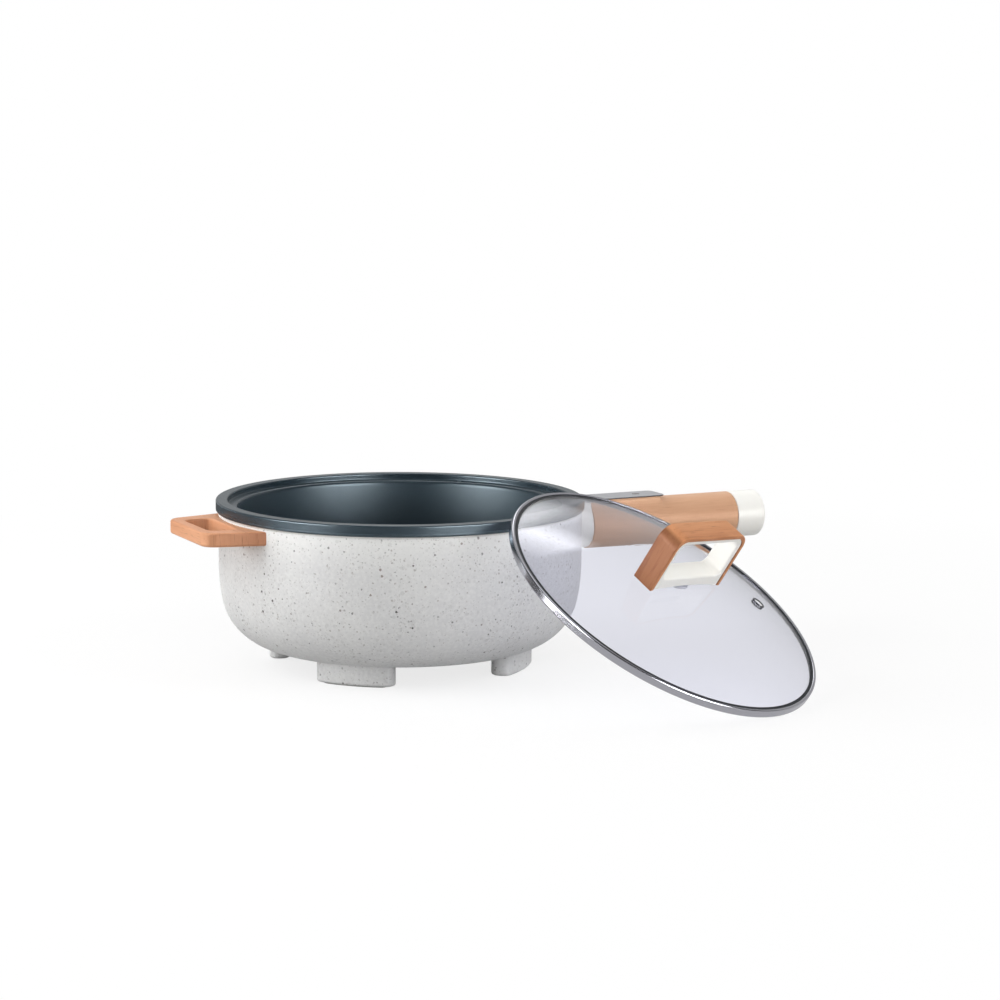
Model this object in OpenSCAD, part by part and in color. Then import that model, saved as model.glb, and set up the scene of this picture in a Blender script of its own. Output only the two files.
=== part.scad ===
// Round electric skillet. A coated pot sits in a moulded shell on four feet. A stick handle carries a
// turning heat control, a loop handle helps to lift, and the loose glass lid leans on the pot's rim.

/* [Pot] */
// Radius of the rim's outer band
rim_r = 140; // [130:1:156]
// Height of the rim above the table
rim_top = 127; // [121:1:141]
// Height of the rim's outer band
rim_band = 8.5; // [7:0.5:11]
// Rounding of the band's outer edges
rim_edge = 1.2; // [0.6:0.2:2]
// Width of the rim's flat lip
lip_w = 9; // [7:0.5:11]
// Width of the ledge that the lid sits on
ledge_w = 7.5; // [6:0.5:9]
// Depth of the ledge below the lip
ledge_drop = 5; // [4:0.5:6]
// Inside depth of the pot
pot_depth = 78; // [70:1:82]
// Thickness of the pot's wall and floor
pot_wall = 3; // [2.4:0.2:4]
// Lean of the pot's wall, in degrees
pot_draft = 5; // [2:0.5:7]
// Inside rounding between wall and floor
pot_corner = 18; // [12:1:24]
// Thickness of the gasket under the rim
gasket_t = 1; // [0.6:0.2:1.6]

/* [Shell] */
// How far the rim's band stands out past the shell
rim_overhang = 1.8; // [1:0.2:3]
// Thickness of the shell's wall
shell_wall = 3; // [2.4:0.2:3.6]
// Depth of the shell's straight wall, from the rim's top
wall_drop = 48; // [42:1:54]
// Radius of the gently curved lower wall
belly_r = 147; // [125:1:170]
// Radius of the rounded bottom corner
corner_r = 44; // [38:1:48]
// Height of the feet
foot_h = 15; // [13:0.5:17]
// Radial thickness of a foot
foot_w = 16; // [13:0.5:17.5]
// Distance from the shell's wall in to the middle of a foot
foot_inset = 45; // [41:0.5:49]
// Angle that a foot covers, in degrees
foot_span = 38; // [30:1:44]
// Rounding of a foot's lower edges
foot_edge = 2; // [1:0.2:2.6]
// How far the rubber pads stand out of the feet
pad_proud = 0.8; // [0.4:0.1:1.2]
// Depth of a pad's recess
pad_depth = 1.8; // [1.2:0.2:2.4]
// Thickness of the bottom cover
cover_t = 2; // [1.6:0.2:2.6]
// Number of vent slots in the bottom cover
vent_slots = 12; // [6:1:16]

/* [Heater] */
// Radius of the heat spreader
spreader_r = 70; // [64:1:73]
// Thickness of the heat spreader
spreader_t = 6; // [5:0.5:7]
// Radius of the heater's loop
heater_r = 54; // [46:1:60]
// Radius of the heater's tube
heater_tube = 3.5; // [3:0.1:4]
// Angle left open between the heater's ends, in degrees
heater_gap = 36; // [28:1:50]
// Radius of the thermostat's cap
thermostat_r = 8.5; // [7.5:0.5:9.5]
// Radius of the fuse
fuse_r = 2.4; // [2:0.1:2.8]
// Thickness of the heat shield
shield_t = 0.8; // [0.6:0.1:1.2]
// Radius of a pot stud
stud_r = 5; // [4.5:0.5:6]

/* [Inlet] */
// Width of the inlet's socket
inlet_w = 24.5; // [22:0.5:27]
// Height of the inlet's socket
inlet_h = 16.5; // [15:0.5:18]
// Depth of the inlet's socket
inlet_depth = 18; // [16:0.5:20]
// Wall of the inlet's housing
inlet_wall = 1.8; // [1.4:0.2:2.2]
// Height of the inlet's middle above the table
inlet_z = 43; // [40:0.5:45]

/* [Stick handle] */
// Radius of the handle's sleeve
grip_r = 18.5; // [17:0.5:20.5]
// Wall of the sleeve
grip_wall = 2.9; // [2.4:0.1:3.4]
// Depth of the handle's axis below the rim's top
axis_drop = 31; // [30:0.5:35]
// Length of the collar past the shell
collar_l = 20; // [16:0.5:24]
// Length of the sleeve
grip_l = 130; // [115:1:150]
// Length of the control knob
knob_l = 25; // [22:0.5:30]
// Rounding of the knob's outer edge
knob_edge = 2.4; // [1.6:0.2:3.2]
// Wall of the knob
knob_wall = 2.2; // [1.8:0.2:2.6]
// Width of the control panel
panel_w = 26; // [24:0.5:28]
// Length of the control panel past the shell
panel_l = 86; // [74:1:100]
// Thickness of the control panel
panel_t = 1; // [0.8:0.1:1.4]
// How far the panel's seat stands above the sleeve
seat_rise = 2; // [1.4:0.2:2.4]
// Radius of the switch's shaft
shaft_r = 3; // [2.6:0.1:3.2]

/* [Loop handle] */
// Reach of the loop handle past the shell
loop_reach = 35; // [31:1:42]
// Width of the loop handle at the shell
loop_w = 101; // [92:1:108]
// Width of the loop handle at its outer end
loop_end_w = 85; // [78:1:88]
// Height of the loop handle
loop_h = 10.5; // [9.5:0.5:12]
// Depth of its top below the rim's top
loop_drop = 11; // [10.5:0.5:14]
// Width of its outer bar
loop_bar = 9; // [7.5:0.5:11]
// Rounding of its outer corners
loop_corner = 12; // [9:1:15]
// Rounding of its edges
loop_edge = 2; // [1:0.5:3]

/* [Lid] */
// Radius of the lid's steel band
lid_r = 125; // [124.2:0.1:126.5]
// Height of the steel band
lid_band_h = 6.4; // [6:0.1:7.4]
// Sheet thickness of the steel band
lid_sheet = 0.8; // [0.6:0.1:1]
// Thickness of the glass
glass_t = 3.5; // [3:0.1:3.8]
// Rise of the glass at its middle
glass_rise = 20; // [17:0.5:24]
// Tilt of the leaning lid, in degrees
lid_tilt = 32.5; // [31:0.5:35]
// Direction in which the lid slopes down, in degrees from the stick handle
lid_lean = -58.5; // [-75:0.5:-50]
// Direction from the pot to the lid, in degrees from the stick handle
lid_side = -57.5; // [-72:0.5:-46]
// Turn of the lid about its own axis, in degrees
lid_turn = 81; // [60:1:110]
// Length of the lid's handle
bridge_l = 83; // [76:1:94]
// Height of the lid's handle
bridge_h = 45; // [41:1:51]
// Depth of the lid's handle, front to back
bridge_w = 18.5; // [16:0.5:22]
// Thickness of the wood-look strap
strap_t = 3.2; // [2.6:0.2:4]
// Thickness of the frame inside the strap
frame_t = 3.5; // [2.5:0.5:5]
// Rounding of the lid handle's corners
bridge_corner = 11; // [9:0.5:14]
// Distance of the steam vent from the lid's middle
vent_at = 83.5; // [70:0.5:95]
// Radius of the steam vent's flange
vent_r = 5.5; // [4.5:0.5:7]

/* [Hidden] */
$fn = 96;

// Colours, as the photo shows them
SHELL_WHITE = [0.88, 0.88, 0.87];
POT_GREY = [0.22, 0.25, 0.28];
CREAM = [0.95, 0.93, 0.88];
WOOD = [0.82, 0.6, 0.44];
STEEL = [0.78, 0.78, 0.79];
BRASS = [0.8, 0.66, 0.36];
RUBBER = [0.25, 0.25, 0.26];

// Clearances: a sliding fit, a running fit, a push fit and a rest gap
slide_gap = 0.2;
run_gap = 0.06;
push_gap = 0.04;
rest_gap = 0.3;

// Step that keeps the round end of a bent block off a tangent with its sides
end_step = 0.05;

// Heights of the pot and the shell
band_z = rim_top - rim_band;
ledge_z = rim_top - ledge_drop;
lip_r = rim_r - lip_w;
ledge_r = lip_r - ledge_w;
floor_z = rim_top - pot_depth;
under_z = floor_z - pot_wall;
shell_r = rim_r - rim_overhang;
shell_top = band_z - gasket_t;
shell_floor = foot_h + shell_wall;

// Section of the pot: the corner's middle, from the ledge down along the leaning wall
pot_cz = floor_z + pot_corner;
pot_cx = ledge_r - pot_corner / cos(pot_draft) - (ledge_z - pot_cz) * tan(pot_draft);

// Section of the shell: a straight wall, a wide arc and a corner arc, each meeting the next smoothly
belly_x = shell_r - belly_r;
belly_z = rim_top - wall_drop;
corner_z = foot_h + corner_r;
blend = asin((belly_z - corner_z) / (belly_r - corner_r));
corner_x = belly_x + (belly_r - corner_r) * cos(blend);

// Rings of feet, studs and cover screws on the underside. The studs stand between the feet.
foot_r = shell_r - foot_inset;
foot_angles = [45, 135, 225, 315];
foot_half = foot_span / 2 - asin(foot_w / 2 / foot_r);
pad_w = foot_w - 5;
pad_half = foot_half - 2;
pad_edge = 0.4;
shield_rod = 3.5;
spreader_gap = 4.5;
stud_ring = spreader_r + spreader_gap + shield_rod;
cover_r = stud_ring - stud_r - 3;
cover_ring = cover_r - 5;
opening_r = cover_ring - 5;
stud_angles = [0, 90, 180, 270];
cover_angles = [45, 135, 225, 315];
screw_r = 2;
screw_head = 3.6;
screw_head_h = 2.2;

// Heater stack under the pot's floor
spreader_z = under_z - spreader_t;
heater_bottom = spreader_z - heater_tube;
shield_z = (shell_floor + heater_bottom) / 2;
shield_r = stud_ring + stud_r + 4;
shield_lip = 4;
boss_top = shield_z - 2.5;
cap_hole = thermostat_r + 3;
bracket_t = 1;
bracket_half = 19;
bracket_hole = 15.5;
fuse_at = 34;
fuse_l = 18;
heater_pin = 1.6;
heater_drop = 4;
tab_drop = 9;
fuse_lead = 7;
wire_r = 1.3;

// Inlet on the back of the shell
inlet_face = shell_r - 0.8;
inlet_flange = 2;
inlet_room = 2 * inlet_wall + 2 * slide_gap;
inlet_pad = inlet_face - inlet_flange;
inlet_back = inlet_face - inlet_depth - inlet_wall;
flange_w = inlet_w + 2 * inlet_wall + 16;
flange_h = inlet_h + 2 * inlet_wall + 6;
inlet_screw_at = inlet_w / 2 + inlet_wall + 4.2;
pin_pitch = 7;
pin_rise = 2;
pin_inset = 6;

// Stick handle, measured along its axis from the pot's middle
axis_z = rim_top - axis_drop;
collar_end = shell_r + collar_l;
grip_end = collar_end + grip_l;
core_r = grip_r - grip_wall - slide_gap;
core_bore = core_r - 2.6;
collar_r = grip_r - 0.8;
knob_start = grip_end + 0.5;
knob_end = knob_start + knob_l;
core_end = knob_start + 3;
core_plug = collar_end + 6;
switch_l = 20;
switch_face = core_end - 3;
bush_r = shaft_r + 1.8;
nut_t = 2.6;
nut_r = bush_r + 2.6;
shaft_end = knob_end - 5;
knob_boss = shaft_r + 2.6;
wire_hole = 5.5;
bolt_r = 2.4;
bolt_head = 4;
bolt_at = core_r - 4.6;
panel_top_z = axis_z + grip_r + seat_rise + panel_t;
panel_seat_z = axis_z + grip_r + seat_rise;
panel_start = shell_r - 4;
panel_end = shell_r + panel_l;
panel_corner = 5;
lens_x = panel_end - 20;
lens_r = 3;

// Loop handle
loop_top = rim_top - loop_drop;
loop_z = loop_top - loop_h;
loop_end = shell_r + loop_reach;
loop_root = 5;
loop_slot_corner = 7;
loop_screw_l = 11;
loop_screw_at = loop_w / 2 - 13;
loop_inner_w = 2 * (loop_screw_at - 8.5);

// Lid: glass dome, and the place where it comes to rest against the rim
glass_r = lid_r - lid_sheet - 0.3;
glass_seat = lid_sheet + 0.15;
dome_in = (glass_r * glass_r + glass_rise * glass_rise) / (2 * glass_rise);
dome_out = dome_in + glass_t;
dome_z = glass_seat - (dome_in - glass_rise);
glass_top = dome_z + dome_out;
band_in = lid_r - 4.5;
lip_under = lid_band_h - lid_sheet;
lid_lip = 2.4;
lip_in = max(lid_r - lid_lip, sqrt(dome_out * dome_out - pow(lip_under - slide_gap - dome_z, 2)));
lid_screw_r = 2.5;
washer_r = 9;
washer_t = 1.2;
base_h = 8;
seal_r = bridge_w / 2 - 1.5;
vent_turn = -17;
washer_z = dome_z + sqrt(dome_in * dome_in - washer_r * washer_r);
lid_height = lid_r * sin(lid_tilt);
lid_axis = [sin(lid_tilt) * cos(lid_lean), sin(lid_tilt) * sin(lid_lean), cos(lid_tilt)];
rim_heights = [rim_top, (rim_top + band_z) / 2, band_z];
rim_points = [for (z = rim_heights, a = [lid_side - 80:2:lid_side + 80])
    [rim_r * cos(a), rim_r * sin(a), z]];

// Highest place, in the lid's own frame, that the rim can reach at a distance from the lid's axis
function lid_limit(d) =
    d < band_in ? dome_z + sqrt(dome_in * dome_in - d * d) : d < lid_r + 0.5 ? 0 : 1000;

// Room between the rim and one point of the lid's underside, for a lid at a distance from the pot
function point_room(p, q) =
    let (up = (p - q) * lid_axis)
    lid_limit(norm(p - q - up * lid_axis)) - up;
function lid_room(s) =
    let (q = [s * cos(lid_side), s * sin(lid_side), lid_height])
    min([for (p = rim_points) point_room(p, q)]);

// The nearest distance that leaves the rest gap, found by halving
function lid_rest(near, far, turns) =
    turns == 0 ? far
    : let (s = (near + far) / 2)
      lid_room(s) < rest_gap ? lid_rest(s, far, turns - 1) : lid_rest(near, s, turns - 1);
lid_away = lid_rest(rim_r, rim_r + 2 * lid_r, 24);

// The pot's place, which puts the origin under the middle of the whole object
lid_reach_y = lid_r * sqrt(1 - pow(lid_axis.y, 2));
lid_low_y = lid_away * sin(lid_side) - lid_reach_y + min(0, lid_band_h * lid_axis.y);
pot_x = -(knob_end - loop_end) / 2;
pot_y = -(rim_r + lid_low_y) / 2;

// Points along an arc
function arc(x, y, r, from, to, steps) =
    [for (i = [0:steps]) let (a = from + (to - from) * i / steps) [x + r * cos(a), y + r * sin(a)]];

// Section of the shell, drawn in from its outer face
function shell_outline(inset, top) = concat(
    [[0, foot_h + inset]],
    arc(corner_x, corner_z, corner_r - inset, -90, -blend, 14),
    arc(belly_x, belly_z, belly_r - inset, -blend, 0, 5),
    [[shell_r - inset, top], [0, top]]);

// Section of the pot's inside, grown out by a wall
function pot_outline(grow, top) = concat(
    [[0, floor_z - grow]],
    arc(pot_cx, pot_cz, pot_corner + grow, -90, -pot_draft, 10),
    [[ledge_r + grow / cos(pot_draft) + (top - ledge_z) * tan(pot_draft), top], [0, top]]);

module at_pot() {
    translate([pot_x, pot_y, 0]) children();
}

// Frame of the stick handle: z runs out along its axis
module at_axis(x) {
    at_pot() translate([x, 0, axis_z]) rotate([0, 90, 0]) children();
}

// Frame of the lid: z runs up through its middle, x slopes down
module at_lid() {
    at_pot()
        translate([lid_away * cos(lid_side), lid_away * sin(lid_side), lid_height])
            rotate([0, 0, lid_lean])
                rotate([0, lid_tilt, 0])
                    rotate([0, 0, lid_turn])
                        children();
}

module ring(r_out, r_in, z0, z1) {
    difference() {
        translate([0, 0, z0]) cylinder(r = r_out, h = z1 - z0);
        translate([0, 0, z0 - 1]) cylinder(r = r_in, h = z1 - z0 + 2);
    }
}

module rod(r, z0, z1) {
    translate([0, 0, z0]) cylinder(r = r, h = z1 - z0);
}

// A rectangle with round corners
module round_rect(w, h, r) {
    square([w - 2 * r, h], center = true);
    square([w, h - 2 * r], center = true);
    for (x = [-1, 1], y = [-1, 1])
        translate([x * (w / 2 - r), y * (h / 2 - r)])
            circle(r);
}

// Half of a bent block's section, with its lower edge rounded
function half_section(w, z0, z1, edge) = concat(
    [[0, z1], [0, z0]],
    arc(w / 2 - edge, z0 + edge, edge, -90, 0, 3),
    [[w / 2, z1]]);

// A block bent round the pot's axis. Its round ends are turned, so that no seam lies on the end faces
module bent_block(r, w, half, z0, z1, edge) {
    rotate([0, 0, -half])
        rotate_extrude(angle = 2 * half)
            translate([r, 0]) {
                polygon(half_section(w, z0, z1, edge));
                mirror([1, 0]) polygon(half_section(w, z0, z1, edge));
            }
    for (a = [-half, half])
        rotate([0, 0, a])
            translate([r, 0, 0])
                rotate([0, 0, 40])
                    rotate_extrude($fn = 48) polygon(half_section(w - 2 * end_step, z0, z1, edge));
}

// A screw with its head below z = 0 and its shank above
module screw(shank_r, head_r, head_h, l) {
    rod(head_r, -head_h, 0);
    rod(shank_r, -head_h / 2, l);
}

// A smooth path through points: a cubic between each pair, in a few steps
function eased(p, i, t) =
    let (a = p[max(i - 1, 0)], b = p[i], c = p[i + 1], d = p[min(i + 2, len(p) - 1)])
    b + t * (c - a) / 2 + t * t * (2 * a - 5 * b + 4 * c - d) / 2 + t * t * t * (3 * b - a - 3 * c + d) / 2;
function path(p, steps) = concat(
    [for (i = [0:len(p) - 2], k = [0:steps - 1]) eased(p, i, k / steps)],
    [p[len(p) - 1]]);
function unit(v) = v / norm(v);

// A wire along a smooth path: rings of corners joined by triangles
module wire(points, r) {
    sides = 8;
    p = path(points, 4);
    last = len(p) - 1;
    corners = [for (i = [0:last])
        let (along = unit(p[min(i + 1, last)] - p[max(i - 1, 0)]))
        let (u = unit(cross(along, [0.3, 0.2, 0.9])), v = cross(along, u))
        for (k = [0:sides - 1])
            p[i] + r * (cos(360 * k / sides) * u + sin(360 * k / sides) * v)];
    walls = [for (i = [0:last - 1], k = [0:sides - 1])
        let (a = i * sides + k, b = i * sides + (k + 1) % sides)
        each [[a, a + sides, b], [b, a + sides, b + sides]]];
    start = [for (k = [1:sides - 2]) [0, k, k + 1]];
    finish = [for (k = [1:sides - 2]) [last * sides, last * sides + k + 1, last * sides + k]];
    polyhedron(corners, concat(walls, start, finish), convexity = 10);
}

// Moulded bowl with its feet, the flat for the inlet and the bosses for the cover's screws
module outer_shell() {
    color(SHELL_WHITE) at_pot() difference() {
        union() {
            difference() {
                union() {
                    rotate_extrude($fn = 180) polygon(shell_outline(0, shell_top));
                    translate([0, inlet_pad, inlet_z])
                        rotate([90, 0, 0])
                            linear_extrude(30)
                                round_rect(flange_w + 4, flange_h + 4, 6);
                }
                rotate_extrude($fn = 180) polygon(shell_outline(shell_wall, shell_top + 1));
            }
            for (a = foot_angles)
                rotate([0, 0, a])
                    bent_block(foot_r, foot_w, foot_half, pad_proud, shell_floor - 1, foot_edge);
            for (a = cover_angles)
                rotate([0, 0, a])
                    translate([cover_ring, 0, 0])
                        rod(4, shell_floor - 1, boss_top);
        }
        for (a = foot_angles)
            rotate([0, 0, a])
                bent_block(foot_r, pad_w + 2 * slide_gap, pad_half, -1, pad_proud + pad_depth, pad_edge);
        rod(opening_r, 0, shell_floor + 1);
        for (a = cover_angles)
            rotate([0, 0, a])
                translate([cover_ring, 0, 0])
                    rod(screw_r + push_gap, foot_h - 1, boss_top - 2);
        for (a = stud_angles)
            rotate([0, 0, a])
                translate([stud_ring, 0, 0])
                    rod(screw_r + slide_gap, foot_h - 1, shell_floor + 1);
        translate([0, inlet_pad + 30, inlet_z])
            rotate([90, 0, 0])
                linear_extrude(30)
                    round_rect(flange_w + 4, flange_h + 4, 6);
        translate([0, inlet_pad + 1, inlet_z])
            rotate([90, 0, 0])
                linear_extrude(60)
                    round_rect(inlet_w + inlet_room, inlet_h + inlet_room, 3);
        for (x = [-1, 1])
            translate([x * inlet_screw_at, inlet_pad + 1, inlet_z])
                rotate([90, 0, 0])
                    cylinder(r = 1.5 + push_gap, h = 9);
        translate([shell_r - 2 * shell_wall, 0, axis_z])
            rotate([0, 90, 0])
                cylinder(r = wire_hole, h = 4 * shell_wall);
        for (z = [-1, 1])
            translate([shell_r - 2 * shell_wall, 0, axis_z + z * bolt_at])
                rotate([0, 90, 0])
                    cylinder(r = bolt_r + slide_gap, h = 4 * shell_wall);
        for (y = [-1, 1])
            translate([-shell_r - 2 * shell_wall, y * loop_screw_at, loop_z + loop_h / 2])
                rotate([0, 90, 0])
                    cylinder(r = screw_r + slide_gap, h = 6 * shell_wall);
    }
}

// Coated pot: a leaning wall, a band rim and a ledge where the lid sits
module cooking_pot() {
    color(POT_GREY) at_pot() rotate_extrude($fn = 180) difference() {
        union() {
            polygon(pot_outline(pot_wall, ledge_z));
            polygon(concat(
                [[ledge_r - 1, band_z]],
                arc(rim_r - rim_edge, band_z + rim_edge, rim_edge, -90, 0, 4),
                arc(rim_r - rim_edge, rim_top - rim_edge, rim_edge, 0, 90, 4),
                arc(lip_r + rim_edge, rim_top - rim_edge, rim_edge, 90, 180, 4),
                [[lip_r, ledge_z], [ledge_r - 1, ledge_z]]));
        }
        polygon(pot_outline(0, ledge_z + 0.5));
    }
}

module rim_gasket() {
    color(CREAM) at_pot() ring(shell_r - 0.4, shell_r - shell_wall - 1.5, shell_top, band_z);
}

// Plate under the pot's floor, with a half-round groove for the heater's tube
module heat_spreader() {
    color(STEEL) at_pot() difference() {
        rod(spreader_r, spreader_z, under_z);
        rod(cap_hole, spreader_z - 1, under_z + 1);
        translate([0, 0, spreader_z])
            rotate_extrude()
                translate([heater_r, 0])
                    circle(heater_tube + push_gap);
        for (x = [-1, 1])
            translate([x * bracket_hole, 0, 0])
                rod(1.5, spreader_z - 1, spreader_z + 4);
    }
}

// Tube heater: most of a turn, with cold ends that turn down
module heating_element() {
    color([0.45, 0.45, 0.47]) at_pot() {
        translate([0, 0, spreader_z])
            rotate([0, 0, heater_gap / 2])
                rotate_extrude(angle = 360 - heater_gap)
                    translate([heater_r, 0])
                        circle(heater_tube);
        for (a = [-heater_gap / 2, heater_gap / 2])
            rotate([0, 0, a])
                translate([heater_r, 0, spreader_z])
                    rod(heater_pin, -heater_tube - heater_drop, -1);
    }
}

// Snap-disc thermostat: its cap touches the pot's floor, its tabs point down
module thermostat() {
    color([0.3, 0.24, 0.2]) at_pot() {
        rod(thermostat_r, spreader_z, under_z);
        rod(thermostat_r - 1.5, spreader_z - 5, spreader_z + 1);
        for (x = [-1, 1])
            translate([x * 3.5 - 0.4, -2.5, spreader_z - tab_drop])
                cube([0.8, 5, tab_drop - 4]);
    }
}

module thermostat_bracket() {
    color(STEEL) at_pot() difference() {
        translate([0, 0, spreader_z - bracket_t])
            linear_extrude(bracket_t)
                round_rect(2 * bracket_half, 22, 4);
        rod(thermostat_r - 1.5 + slide_gap, spreader_z - 5, spreader_z + 1);
        for (x = [-1, 1])
            translate([x * bracket_hole, 0, 0])
                rod(1.5, spreader_z - 5, spreader_z + 1);
    }
}

module bracket_screws() {
    color(STEEL) at_pot() for (x = [-1, 1])
        translate([x * bracket_hole, 0, spreader_z - bracket_t])
            screw(1.5 - push_gap, 2.8, 1.8, 4);
}

module thermal_fuse() {
    color([0.9, 0.9, 0.86]) at_pot() translate([0, fuse_at, spreader_z - fuse_r - push_gap])
        rotate([0, 90, 0]) {
            cylinder(r = fuse_r, h = fuse_l, center = true);
            cylinder(r = 0.6, h = fuse_l + 2 * fuse_lead, center = true);
        }
}

// Saddle that holds the fuse to the plate
module fuse_clip() {
    color(STEEL) at_pot() difference() {
        translate([-3, fuse_at - 2 * fuse_r - 3, spreader_z - 2 * fuse_r - 1])
            cube([6, 4 * fuse_r + 6, 2 * fuse_r + 1]);
        for (y = [-1, 1])
            translate([-4, fuse_at + y * (2 * fuse_r + 2) - fuse_r - 1, spreader_z - 2 * fuse_r - 2])
                cube([8, 2 * fuse_r + 2, 2 * fuse_r + 1]);
        translate([0, fuse_at, spreader_z - fuse_r - push_gap])
            rotate([0, 90, 0])
                cylinder(r = fuse_r + push_gap, h = 20, center = true);
        translate([-4, fuse_at - fuse_r - push_gap, spreader_z - fuse_r])
            cube([8, 2 * fuse_r + 2 * push_gap, fuse_r + 1]);
    }
}

// Pressed dish that keeps the heat off the shell's floor, on the shoulders of the studs
module heat_shield() {
    color(STEEL) at_pot() difference() {
        rotate_extrude() polygon([
            [0, shield_z],
            [shield_r, shield_z],
            [shield_r + 2, shield_z + shield_lip],
            [shield_r + 2 - shield_t, shield_z + shield_lip],
            [shield_r - shield_t, shield_z + shield_t],
            [0, shield_z + shield_t]]);
        for (a = stud_angles)
            rotate([0, 0, a])
                translate([stud_ring, 0, 0])
                    rod(shield_rod + push_gap, shield_z - 1, shield_z + shield_t + 1);
        rod(9, shield_z - 1, shield_z + shield_t + 1);
    }
}

// Stepped studs welded under the pot, bored for the screws from below
module pot_studs() {
    color(STEEL) at_pot() for (a = stud_angles)
        rotate([0, 0, a])
            translate([stud_ring, 0, 0])
                difference() {
                    union() {
                        rod(stud_r, shell_floor, shield_z);
                        rod(shield_rod, shield_z - 1, under_z);
                    }
                    rod(screw_r + push_gap, shell_floor - 1, shield_z - 1);
                }
}

module stud_screws() {
    color(STEEL) at_pot() for (a = stud_angles)
        rotate([0, 0, a])
            translate([stud_ring, 0, foot_h])
                screw(screw_r, screw_head, screw_head_h, shield_z - foot_h - 2);
}

// Cover under the shell, with a spigot in the opening and a fan of vent slots
module bottom_cover() {
    color(SHELL_WHITE) at_pot() difference() {
        union() {
            rod(cover_r, foot_h - cover_t, foot_h);
            ring(opening_r - slide_gap, opening_r - slide_gap - 2, foot_h - cover_t, shell_floor);
        }
        for (i = [0:vent_slots - 1])
            rotate([0, 0, 360 * (i + 0.5) / vent_slots])
                translate([0.64 * opening_r, 0, foot_h - cover_t - 1])
                    linear_extrude(cover_t + 2)
                        round_rect(0.4 * opening_r, 4, 1.9);
        for (a = cover_angles)
            rotate([0, 0, a])
                translate([cover_ring, 0, 0])
                    rod(screw_r + slide_gap, foot_h - cover_t - 1, foot_h + 1);
    }
}

module cover_screws() {
    color(STEEL) at_pot() for (a = cover_angles)
        rotate([0, 0, a])
            translate([cover_ring, 0, foot_h - cover_t])
                screw(screw_r, screw_head, screw_head_h, boss_top - 3 - foot_h + cover_t);
}

module foot_pads() {
    color(RUBBER) at_pot() for (a = foot_angles)
        rotate([0, 0, a])
            bent_block(foot_r, pad_w, pad_half, 0, pad_proud + pad_depth, pad_edge);
}

// Appliance inlet: a flanged socket let into the flat on the shell's back
module power_inlet() {
    color(RUBBER) at_pot() translate([0, inlet_face, inlet_z]) rotate([90, 0, 0]) difference() {
        union() {
            linear_extrude(inlet_flange) round_rect(flange_w, flange_h, 5);
            linear_extrude(inlet_depth + inlet_wall)
                round_rect(inlet_w + 2 * inlet_wall, inlet_h + 2 * inlet_wall, 2.8);
        }
        translate([0, 0, -1]) linear_extrude(inlet_depth + 1) round_rect(inlet_w, inlet_h, 2);
        for (x = [-1, 1])
            translate([x * inlet_screw_at, 0, -1])
                cylinder(r = 1.5 + slide_gap, h = inlet_flange + 2);
        for (x = [-1, 0, 1])
            translate([x * pin_pitch, x == 0 ? pin_rise : -pin_rise, inlet_depth / 2])
                linear_extrude(inlet_depth)
                    square([2 + push_gap, 4 + push_gap], center = true);
    }
}

module inlet_pins() {
    color(BRASS) at_pot() translate([0, inlet_face, inlet_z]) rotate([90, 0, 0])
        for (x = [-1, 0, 1])
            translate([x * pin_pitch, x == 0 ? pin_rise : -pin_rise, pin_inset])
                linear_extrude(inlet_depth + inlet_wall)
                    square([2, 4], center = true);
}

module inlet_screws() {
    color(STEEL) at_pot() translate([0, inlet_face, inlet_z]) rotate([90, 0, 0])
        for (x = [-1, 1])
            translate([x * inlet_screw_at, 0, 0])
                screw(1.5, 2.8, 0.6, inlet_flange + 7);
}

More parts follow.
